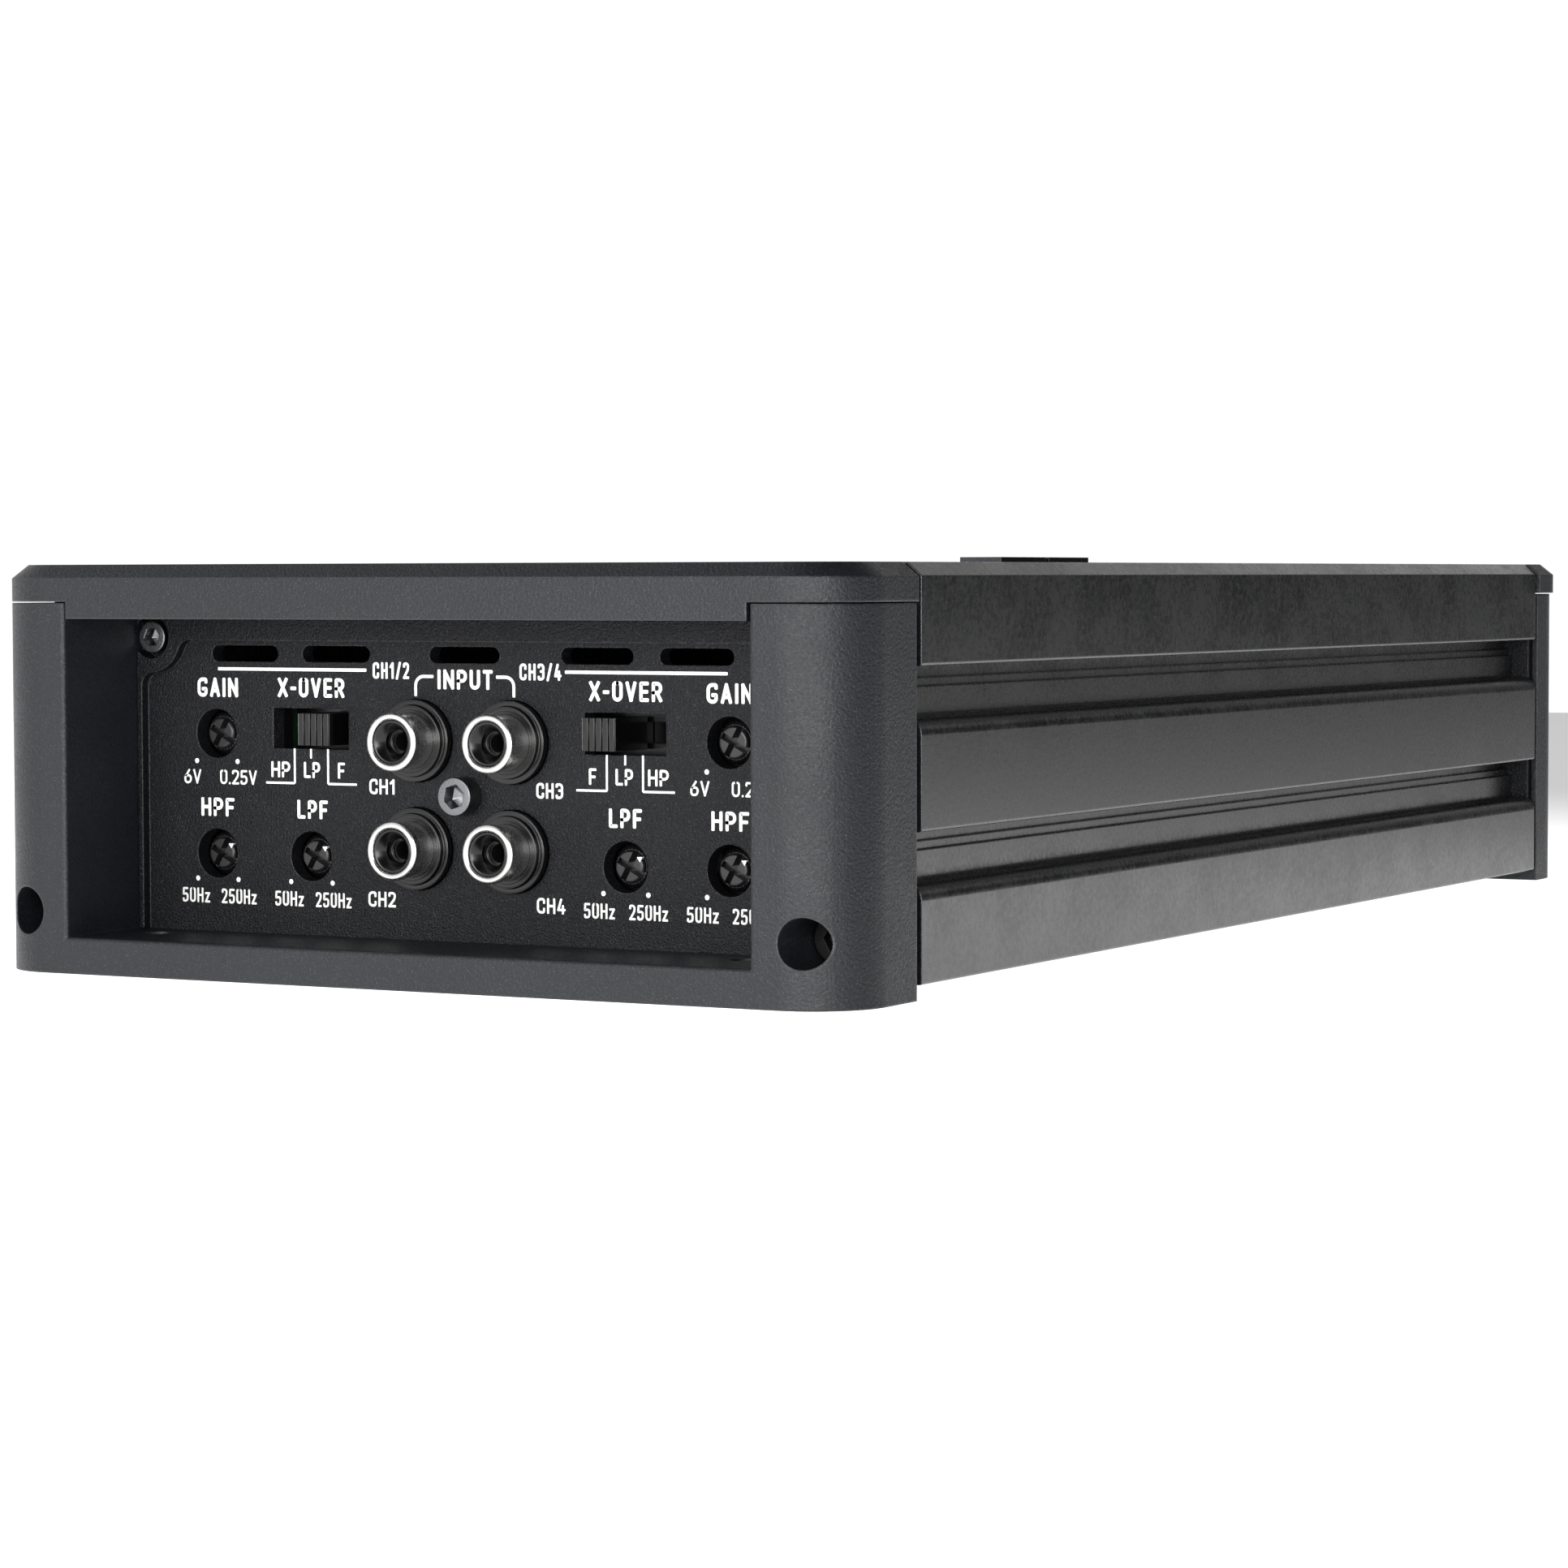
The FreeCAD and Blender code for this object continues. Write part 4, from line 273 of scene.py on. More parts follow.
def finish(name, base, roughness, grain=None, depth=0.0, octaves=3.0, metallic=0.0,
           spread=0.0, fleck=None, fleck_size=0.16 * MM, fleck_share=0.04, edge=0.0, sheen=0.5,
           stretch=(1, 1, 1)):
    """Shared build of a surface.

    The base colour drifts a little with a broad noise, and the roughness with a finer one,
    both by their scale in patches to a metre. The roughness also follows the grain by the
    spread. Flecks, painted glints on a textured coat, are the middles of some cells of a
    Voronoi pattern. Bumps come from the grain, laid over the rounding of the edges by the
    given radius. Where that rounding turns the surface, the coat is thinner and shines more.
    """
    drift_scale, wear_scale = 40.0, 90.0
    material, tree, shader = blank(name)
    place = add(tree, "ShaderNodeTexCoord").outputs["Object"]
    place = add(tree, "ShaderNodeMapping", {"Vector": place, "Scale": stretch}).outputs["Vector"]
    shader.inputs["Metallic"].default_value = metallic
    shader.inputs["Specular IOR Level"].default_value = sheen
    drift = add(tree, "ShaderNodeTexNoise", {"Vector": place, "Scale": drift_scale,
                                             "Detail": 4.0})
    tint = add(tree, "ShaderNodeMapRange", {0: drift.outputs[0], 1: 0.3, 2: 0.7, 3: 0.88, 4: 1.12})
    shade = add(tree, "ShaderNodeVectorMath", {0: base[:3], "Scale": tint.outputs[0]},
                operation="SCALE").outputs[0]
    wear = add(tree, "ShaderNodeTexNoise", {"Vector": place, "Scale": wear_scale,
                                            "Detail": 6.0})
    rough = add(tree, "ShaderNodeMapRange", {0: wear.outputs[0], 1: 0.3, 2: 0.7,
                                             3: roughness - 0.04, 4: roughness + 0.04}).outputs[0]
    normal = None
    if edge:
        normal = add(tree, "ShaderNodeBevel", {"Radius": edge}, samples=6).outputs[0]
        flat = add(tree, "ShaderNodeNewGeometry").outputs["Normal"]
        turn = add(tree, "ShaderNodeVectorMath", {0: normal, 1: flat},
                   operation="DOT_PRODUCT").outputs["Value"]
        worn = add(tree, "ShaderNodeMapRange", {0: turn, 1: 0.99, 2: 0.85, 3: 0.0, 4: 1.0})
        shine = add(tree, "ShaderNodeMapRange", {0: worn.outputs[0], 3: sheen,
                                                 4: min(1.0, sheen + 0.6)}).outputs[0]
        tree.links.new(shine, shader.inputs["Specular IOR Level"])
    if grain:
        bumps = add(tree, "ShaderNodeTexNoise", {"Vector": place, "Scale": 1 / grain,
                                                 "Detail": octaves, "Roughness": 0.55}).outputs[0]
        swing = add(tree, "ShaderNodeMapRange", {0: bumps, 1: 0.3, 2: 0.7, 3: -spread, 4: spread})
        rough = add(tree, "ShaderNodeMath", {0: rough, 1: swing.outputs[0]}, use_clamp=True,
                    operation="ADD").outputs[0]
        inputs = {"Height": bumps, "Distance": depth, "Strength": 1.0}
        if normal:
            inputs["Normal"] = normal
        normal = add(tree, "ShaderNodeBump", inputs).outputs[0]
    if fleck:
        cells = add(tree, "ShaderNodeTexVoronoi", {"Vector": place, "Scale": 0.5 / fleck_size})
        dots = add(tree, "ShaderNodeMapRange", {0: cells.outputs["Distance"], 1: 0.3, 2: 0.15,
                                                3: 0.0, 4: 1.0}).outputs[0]
        chosen = add(tree, "ShaderNodeSeparateColor", {0: cells.outputs["Color"]}).outputs[0]
        chosen = add(tree, "ShaderNodeMapRange", {0: chosen, 1: 1 - fleck_share, 2: 1.0,
                                                  3: 0.0, 4: 1.0}).outputs[0]
        shown = add(tree, "ShaderNodeMath", {0: dots, 1: chosen}, operation="MULTIPLY").outputs[0]
        shade = add(tree, "ShaderNodeMix", {0: shown, 6: shade, 7: fleck},
                    data_type="RGBA").outputs[2]
    tree.links.new(shade, shader.inputs["Base Color"])
    tree.links.new(rough, shader.inputs["Roughness"])
    if normal:
        tree.links.new(normal, shader.inputs["Normal"])
    return material


FINISHES = {}


def surface(name):
    """The named finish, made the first time that it is asked for."""
    if name not in FINISHES:
        FINISHES[name] = RECIPES[name](name, bpy.context.scene.amplifier_finish)
    return FINISHES[name]


RECIPES = {
    # Die-cast end frames: textured powder coat, matt, with fine pale flecks as painted glints on
    # its texture.
    "textured_powder_coat": lambda n, s: finish(
        n, s.casting, s.casting_roughness, s.casting_grain, 0.12 * MM, spread=0.10,
        fleck=s.casting_glint_fleck, fleck_size=0.12 * MM, fleck_share=0.5, edge=0.45 * MM, sheen=0.4),
    # Heatsink: black coat over a fine leather grain, satin, with crisp edges.
    "satin_extrusion_coat": lambda n, s: finish(
        n, s.extrusion, s.extrusion_roughness, s.extrusion_grain, 0.008 * MM, octaves=2.0,
        spread=0.05, edge=0.25 * MM, sheen=1.0),
    # Moulded ABS panels: spark-eroded grain, with pale flecks as painted glints on the grain.
    "spark_eroded_abs": lambda n, s: finish(
        n, s.panel, 0.42, s.panel_grain, 0.2 * MM, octaves=2.0, spread=0.10,
        fleck=linear("#5e6066"), fleck_size=0.1 * MM, fleck_share=0.5, edge=0.3 * MM, sheen=0.22),
    # Screen-printed ink: white, flat, faintly rough; on the knob pointers its white is a painted
    # glint.
    "screen_ink": lambda n, s: finish(n, s.ink, 0.6, 0.2 * MM, 0.005 * MM),
    # Bright nickel on turned brass: a soft shine with faint turning marks.
    "bright_nickel": lambda n, s: finish(
        n, s.nickel, 0.27, 0.35 * MM, 0.0015 * MM, metallic=1.0, spread=0.04,
        stretch=(1.0, 1.4, 1.0)),
    # Tinned bronze of the centre contacts, darkened as painted shade deep inside the jacks.
    "dull_tin": lambda n, s: finish(n, linear("#4a4a4c"), 0.5, 0.4 * MM, 0.01 * MM, metallic=1.0),
    # Zinc-plated steel: greyer and rougher than nickel.
    "zinc_plate": lambda n, s: finish(
        n, s.zinc, 0.34, 0.25 * MM, 0.02 * MM, metallic=1.0, spread=0.08),
    # Black oxide on steel screws.
    "black_oxide": lambda n, s: finish(
        n, linear("#1a1a1c"), 0.4, 0.4 * MM, 0.01 * MM, metallic=0.6, edge=0.15 * MM),
    # Glossy moulded nylon: collars, insulators, sliders and switch bodies.
    "polished_nylon": lambda n, s: finish(
        n, linear("#070708"), 0.22, 1.5 * MM, 0.002 * MM, edge=0.1 * MM),
    # Dull moulded nylon: knob barrels, potentiometers, fuse holder and terminal blocks.
    "moulded_nylon": lambda n, s: finish(
        n, s.moulding, 0.38, 0.5 * MM, 0.015 * MM, spread=0.04, edge=0.2 * MM),
    # Knob crown: moulded nylon, a shade lighter than its flange as a painted sheen on the crown.
    "knob_nylon": lambda n, s: finish(
        n, linear("#161618"), 0.3, 0.3 * MM, 0.01 * MM, spread=0.05),
    # Dark anodised aluminium badge plates, brushed along their length.
    "brushed_anodising": lambda n, s: finish(
        n, linear("#3c3e42"), 0.3, 0.3 * MM, 0.01 * MM, metallic=1.0, edge=0.2 * MM,
        stretch=(6.0, 0.2, 6.0)),
    # Black powder coat on the sheet steel bottom.
    "sheet_powder_coat": lambda n, s: finish(
        n, linear("#1c1d1f"), 0.5, 0.5 * MM, 0.03 * MM, spread=0.05, edge=0.2 * MM),
    # Solder mask over glass-epoxy board.
    "solder_mask": lambda n, s: finish(
        n, linear("#174a2a"), 0.3, 1.2 * MM, 0.02 * MM, edge=0.1 * MM),
    # Turned brass standoffs.
    "turned_brass": lambda n, s: finish(
        n, linear("#c9a24b"), 0.25, 0.5 * MM, 0.01 * MM, metallic=1.0, edge=0.15 * MM),
    # Sintered ferrite.
    "sintered_ferrite": lambda n, s: finish(
        n, linear("#3f4043"), 0.6, 0.4 * MM, 0.04 * MM, spread=0.05, edge=0.4 * MM),
    # Enamelled copper wire, wound close: ridges a wire's thickness apart.
    "enamelled_copper": lambda n, s: finish(
        n, linear("#a3552b"), 0.3, 1.1 * MM, 0.15 * MM, metallic=0.9, spread=0.05, edge=1.2 * MM),
    # Epoxy-painted iron powder.
    "painted_iron_powder": lambda n, s: finish(
        n, linear("#2d5f3f"), 0.35, 0.5 * MM, 0.03 * MM, edge=0.6 * MM),
    # Shrink sleeve over aluminium cans.
    "shrink_sleeve": lambda n, s: finish(
        n, linear("#1d1d38"), 0.28, 3.0 * MM, 0.04 * MM, edge=0.5 * MM),
    # Moulded epoxy of the transistors.
    "moulded_epoxy": lambda n, s: finish(
        n, linear("#1d1d1d"), 0.5, 0.3 * MM, 0.02 * MM, spread=0.05, edge=0.2 * MM),
    # Mill-finish aluminium clamp bars.
    "mill_aluminium": lambda n, s: finish(
        n, linear("#b4b5b8"), 0.34, 0.4 * MM, 0.01 * MM, metallic=1.0, edge=0.2 * MM,
        stretch=(6.0, 0.3, 6.0)),
    # Translucent amber polycarbonate fuses.
    "amber_polycarbonate": lambda n, s: clear_plastic(n, linear("#d98a1c"), 0.35),
    # Tinted lamp lenses.
    "green_lens": lambda n, s: clear_plastic(n, linear("#3fae5a"), 0.4),
    "red_lens": lambda n, s: clear_plastic(n, linear("#c2312b"), 0.4),
}


def clear_plastic(name, base, clear):
    """Tinted, partly clear moulding with faint flow marks."""
    material = finish(name, base, 0.12, 4 * MM, 0.02 * MM, edge=0.25 * MM)
    shader = material.node_tree.nodes["Principled BSDF"]
    shader.inputs["Transmission Weight"].default_value = clear
    shader.inputs["IOR"].default_value = 1.58
    return material


NODE_FINISHES = {
    "textured_powder_coat": ("front_frame", "rear_frame", "front_hood", "rear_hood"),
    "satin_extrusion_coat": ("heatsink",),
    "spark_eroded_abs": ("front_panel", "rear_panel"),
    "sheet_powder_coat": ("bottom_plate",),
    "black_oxide": ("bottom_plate_screws", "frame_screws"),
    "zinc_plate": ("board_screws", "clamp_screws", "power_terminal_screws",
                   "speaker_terminal_screws"),
    "brushed_anodising": ("badge_front", "badge_rear"),
    "polished_nylon": ("rca_block", "crossover_switch_body_left",
                       "crossover_switch_body_right"),
    # The centre contacts' dark tin is painted shade.
    "dull_tin": ("rca_centre_contacts",),
    "moulded_nylon": ("power_terminal_block", "speaker_terminal_block", "fuse_holder",
                      "gain_pots", "filter_pots"),
    "solder_mask": ("control_board", "main_board"),
    "turned_brass": ("board_standoffs",),
    "sintered_ferrite": ("transformer_core", "choke_core"),
    "enamelled_copper": ("transformer_winding", "choke_winding"),
    "painted_iron_powder": ("output_inductors",),
    "shrink_sleeve": ("filter_capacitors",),
    "moulded_epoxy": ("transistors_left", "transistors_right"),
    "mill_aluminium": ("clamp_bar_left", "clamp_bar_right"),
    "amber_polycarbonate": ("blade_fuse_left", "blade_fuse_right"),
    "green_lens": ("power_lamp",),
    "red_lens": ("protect_lamp",),
}


class AMP_OT_finishes(bpy.types.Operator):
    """Give every CAD node its finish"""

    bl_idname = "amplifier.finishes"
    bl_label = "Finishes"

    def execute(self, context):
        for name, nodes in NODE_FINISHES.items():
            for node in nodes:
                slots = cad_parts[node].data.materials
                slots.clear()
                slots.append(surface(name))
        return {"FINISHED"}


# Jacks


class AMP_OT_jacks(bpy.types.Operator):
    """Make the four jacks: plated shell, black insulator and stepped collar"""

    bl_idname = "amplifier.jacks"
    bl_label = "Jacks"

    def execute(self, context):
        size = context.scene.amplifier_fittings
        panel_low = middle_of("front_panel")[1]
        for channel in CHANNELS:
            middle, low, high = middle_of("rca_shell_" + channel)
            at = (middle[0], low[1], middle[2])
            radius = (high[0] - low[0]) / 2
            deep = high[1] - low[1]
            shell = self.shell(radius, deep, size.rim_round)
            piece("jack_shell_" + channel, moved(shell, at), surface("bright_nickel"),
                  stands_for=("rca_shell_" + channel,))
            core_low, core_high = middle_of("rca_insulator_" + channel)[1:]
            core = self.insulator(radius - 1.02 * MM, core_high[1] - core_low[1])
            piece("jack_insulator_" + channel, moved(core, (at[0], core_low[1], at[2])),
                  surface("polished_nylon"),
                  stands_for=("rca_insulator_" + channel,))
            field = panel_low[1] + PANEL_BORDER
            collar = self.collar(radius, size.collar_round)
            piece("jack_collar_" + channel, moved(collar, (at[0], field, at[2])),
                  surface("polished_nylon"))
        return {"FINISHED"}

    def shell(self, radius, deep, rim):
        """Tube turned from a profile: bore, domed rim at the mouth, slimmer barrel."""
        barrel = radius - 0.18 * MM
        bore = radius - 0.98 * MM
        lip = 0.16 * MM
        lip_back = 2.1 * lip
        fillet = 0.35 * MM
        half = (radius - bore - lip - rim) / 2
        dome = 1.9 * half
        profile = np.vstack([
            [(bore, deep)],
            arc((bore + lip, lip_back), lip, 180, 240, 5),
            arc((bore + lip + half, dome), dome, 240, 300, 14),
            arc((radius - rim, lip_back), rim, 300, 360, 7),
            [(radius, 1.35 * MM)],
            arc((radius - fillet, 1.4 * MM), fillet, 5, 60, 6),
            [(barrel, 2.0 * MM), (barrel, deep), (bore, deep)],
        ])
        return turned(profile, 128)

    def insulator(self, radius, deep):
        """Plug turned from a profile: flat rim, polished cone, stepped pin hole."""
        mouth, hole, pin = radius - 0.3 * MM, 1.8 * MM, 1.45 * MM
        profile = np.array([
            (0, deep), (radius, deep), (radius, 0.12 * MM), (radius - 0.1 * MM, 0),
            (mouth, 0), (mouth - 0.12 * MM, 0.06 * MM), (hole + 0.12 * MM, 1.2 * MM),
            (hole, 1.32 * MM), (hole, 2.4 * MM), (hole - 0.1 * MM, 2.5 * MM), (pin, 2.5 * MM),
            (pin, deep - 1 * MM), (0, deep - 1 * MM),
        ])
        return turned(profile, 96)

    def collar(self, radius, soft):
        """Two round steps with softened edges, each a cylinder round the shell."""
        outer, inner = radius + 1.65 * MM, radius + 0.9 * MM
        low, high = -1.22 * MM, -2.02 * MM
        profile = np.vstack([
            [(radius + 0.1 * MM, 0.4 * MM), (radius + 0.1 * MM, high + soft)],
            arc((radius + 0.1 * MM + soft, high + soft), soft, 180, 270),
            arc((inner - soft, high + soft), soft, -90, 0),
            [(inner, low - 0.12 * MM), (inner + 0.12 * MM, low)],
            arc((outer - soft, low + soft), soft, -90, 0),
            [(outer, 0.4 * MM), (radius + 0.1 * MM, 0.4 * MM)],
        ])
        return turned(profile, 128)


# Screws


def socket_screw(radius, head, socket, depth, shank, reach, edge, turn=0.3):
    """Cap screw facing -Y at the origin.

    The crown is a blend from a hexagon to a circle: point = hexagon + v (circle - hexagon).
    The socket's wall and floor hang from the hexagon, and the rest is turned.
    """
    angle = np.linspace(0, 2 * math.pi, 72, endpoint=False)
    flat = socket * math.cos(math.pi / 6)
    hexagon = flat / np.cos((angle - turn) % (math.pi / 3) - math.pi / 6)
    round_ = np.full_like(angle, radius - edge)

    def ring(reach_out, along):
        """One closed ring of points at the given radius and distance."""
        return np.stack([reach_out * np.cos(angle), np.full_like(angle, along),
                         reach_out * np.sin(angle)], -1)

    rings = [ring(hexagon * 0, depth + 0.3 * socket), ring(hexagon * 0.96, depth),
             ring(hexagon, depth - 0.05 * MM), ring(hexagon, 0.08 * MM),
             ring(hexagon + 0.08 * MM, 0)]
    rings += [ring(np.full_like(angle, r), y) for r, y in
              arc((radius - edge, edge), edge, -90, 0, 8)]
    rings += [ring(round_ + edge, head - 0.1 * MM), ring(round_ + edge - 0.1 * MM, head),
              ring(round_ * 0 + shank, head), ring(round_ * 0 + shank, head + reach),
              ring(round_ * 0, head + reach)]
    return skin(np.stack(rings), wrap_columns=True)


class AMP_OT_screws(bpy.types.Operator):
    """Make the bright socket screws of the panels and of the jack block"""

    bl_idname = "amplifier.screws"
    bl_label = "Socket screws"

    def execute(self, context):
        middle, low, high = middle_of("panel_screws")
        radius = 2.35 * MM
        screw = socket_screw(radius, 2.5 * MM, 1.4 * MM, 2.0 * MM, 1.25 * MM, 9 * MM,
                             0.22 * MM)
        patches = []
        for along, towards in ((low[1], 1), (high[1], -1)):
            for across in (low[0] + radius, high[0] - radius):
                patches.append(moved(screw, (across, along, middle[2]), 0.2, towards))
        piece("panel_socket_screws", joined(patches), surface("zinc_plate"),
              stands_for=("panel_screws",))
        middle, low, high = middle_of("rca_block_screw")
        screw = socket_screw((high[0] - low[0]) / 2, 3 * MM, 1.75 * MM, 2.3 * MM, 1.5 * MM,
                             high[1] - low[1] - 3 * MM, 0.22 * MM)
        piece("jack_socket_screw", moved(screw, (middle[0], low[1], middle[2])),
              surface("zinc_plate"), stands_for=("rca_block_screw",))
        return {"FINISHED"}


# Knobs and sliders


class AMP_OT_knobs(bpy.types.Operator):
    """Make the six cross-slotted knobs"""

    bl_idname = "amplifier.knobs"
    bl_label = "Knobs"

    def execute(self, context):
        size = context.scene.amplifier_fittings
        for name in KNOBS:
            middle, low, high = middle_of(name)
            radius = (high[0] - low[0]) / 2
            at = (middle[0], low[1], middle[2])
            barrel = moved(self.barrel(radius, high[1] - low[1], size), at)
            piece(name + "_barrel", barrel, surface("moulded_nylon"), name + "_body",
                  (name,), crease=25)
            crown = joined([self.quadrant(radius - size.knob_flange, turn)
                            for turn in np.arange(4) * math.pi / 2])
            # The crown's lighter nylon is a painted sheen.
            piece(name + "_crown", moved(crown, at, KNOB_TURN), surface("knob_nylon"),
                  name + "_body", crease=25)
            # The filter knobs' pointers are raised marks whose white is a painted glint.
            if "pass" in name:
                piece(name + "_pointer", moved(self.pointer(radius, size), at),
                      surface("screen_ink"), name + "_body")
        return {"FINISHED"}

    def pointer(self, radius, size):
        """Raised pointer at the crown's edge, its white a painted glint: a three-sided prism from
        rings of corners.
        """
        middle, reach = radius - 1.35 * size.knob_flange, 0.5 * MM
        corners = POINTER_TURN + np.array([0, 2, 4]) * math.pi / 3
        ring = np.stack([np.cos(corners), np.zeros(3), np.sin(corners)], -1)
        proud, foot = -0.03 * MM, 0.6 * MM
        sides = ((0.0, proud), (reach, proud), (reach, foot), (0.0, foot))
        rings = np.stack([out * ring + (0, along, 0) for out, along in sides])
        at = (middle * math.cos(POINTER_TURN), 0, middle * math.sin(POINTER_TURN))
        return moved(skin(rings, wrap_columns=True), at)

    def barrel(self, radius, deep, size):
        """Flat seat, toothed flange that widens away from the front, and shaft."""
        teeth = size.knob_teeth
        seat, shaft = radius - size.knob_flange, 1.45 * MM

        def tooth(angle):
            """Rounded teeth: minus the absolute value of a sine."""
            return -np.abs(np.sin(angle * teeth / 2))

        return turned([(0, 1.7 * MM, 0), (seat - 0.05 * MM, 1.7 * MM, 0),
                       (seat, 0.75 * MM, 0), (seat + 0.08 * MM, 0.68 * MM, 0),
                       (radius - 0.1 * MM, 1.2 * MM, size.knob_tooth),
                       (radius, 1.5 * MM, size.knob_tooth), (radius, 4.2 * MM, size.knob_tooth),
                       (radius - 0.2 * MM, 4.5 * MM, 0), (shaft, 4.5 * MM, 0),
                       (shaft, deep, 0), (0, deep, 0)], 168, tooth)

    def quadrant(self, radius, turn):
        """Raised quadrant of the crown.

        A point runs from the inner corner (u = 0) to the outer arc (u = 1) while v sweeps the
        arc between the two slots; near the arc its height falls off by a power of u.
        """
        slot, foot = 0.46 * MM, 1.75 * MM
        u = np.concatenate([[0, 0.06], np.linspace(0.12, 0.8, 6), np.linspace(0.84, 1.0, 6)])
        edge = math.asin(slot / radius)
        sweep = np.linspace(edge, math.pi / 2 - edge, 17)
        outer = radius * np.stack([np.cos(sweep), np.sin(sweep)], -1)
        flat = slot + u[:, None, None] * (outer - slot)
        fall = np.clip((u - 0.8) / 0.2, 0, 1) ** 1.6 * 0.3 * MM
        height = fall[:, None] + np.zeros(len(sweep))
        top = np.stack([flat[..., 0], height, flat[..., 1]], -1)
        base = top * (1, 0, 1) + (0, foot, 0)
        rim, under = (np.concatenate([side[0], side[1:, -1], side[-1, -2::-1], side[-2:0:-1, 0]])
                      for side in (top, base))
        wall = skin(np.stack([rim, under]), wrap_columns=True)
        return moved(joined([skin(top), skin(base), wall]), (0, 0, 0), turn)


class AMP_OT_sliders(bpy.types.Operator):
    """Make the ribbed grips of the two slide switches"""

    bl_idname = "amplifier.sliders"
    bl_label = "Sliders"

    def execute(self, context):
        size = context.scene.amplifier_fittings
        for side in SIDES:
            node = "crossover_slider_" + side
            middle, low, high = middle_of(node)
            thing = piece("slider_grip_" + side, self.grip(low, high, size),
                          surface("polished_nylon"), node + "_body", (node,))
            softening = thing.modifiers.new("softened edges", "BEVEL")
            softening.width = 0.1 * MM
            softening.segments = 2
            softening.limit_method = "ANGLE"
            softening.angle_limit = math.radians(50)
        return {"FINISHED"}

    def grip(self, low, high, size):
        """Block whose front follows ribs: depth = rib depth times a rounded square wave of x."""
        wide = high[0] - low[0]
        x = np.linspace(0, 1, size.rib_count * 32 + 1)
        wave = np.cos(x * 2 * math.pi * size.rib_count)
        groove = size.rib_depth * np.clip(wave * 5 - 3.8, 0, 1)
        groove[[0, -1]] = 0
        face = np.stack([low[0] + x * wide, low[1] + groove], -1)
        shoulder = high[1] - 3.9 * MM
        middle = (low[0] + high[0]) / 2
        half_stem = 1.3 * MM
        outline = np.vstack([face, [
            (high[0], shoulder), (middle + half_stem, shoulder), (middle + half_stem, high[1]),
            (middle - half_stem, high[1]), (middle - half_stem, shoulder), (low[0], shoulder)]])
        grip = np.stack([np.column_stack([outline, np.full(len(outline), z)])
                         for z in (low[2], high[2])])
        wall = skin(grip, wrap_columns=True)
        caps = [self.cap(face, shoulder, z) for z in (low[2], high[2])]
        stem = [self.cap(np.array([(middle - half_stem, shoulder), (middle + half_stem, shoulder)]),
                         high[1], z) for z in (low[2], high[2])]
        return joined([wall] + caps + stem)

    def cap(self, face, back, up):
        """Flat end between a run of points and the same run carried to the back."""
        rear = face.copy()
        rear[:, 1] = back
        return skin(np.stack([np.column_stack([row, np.full(len(row), up)])
                              for row in (face, rear)]))


# Legends

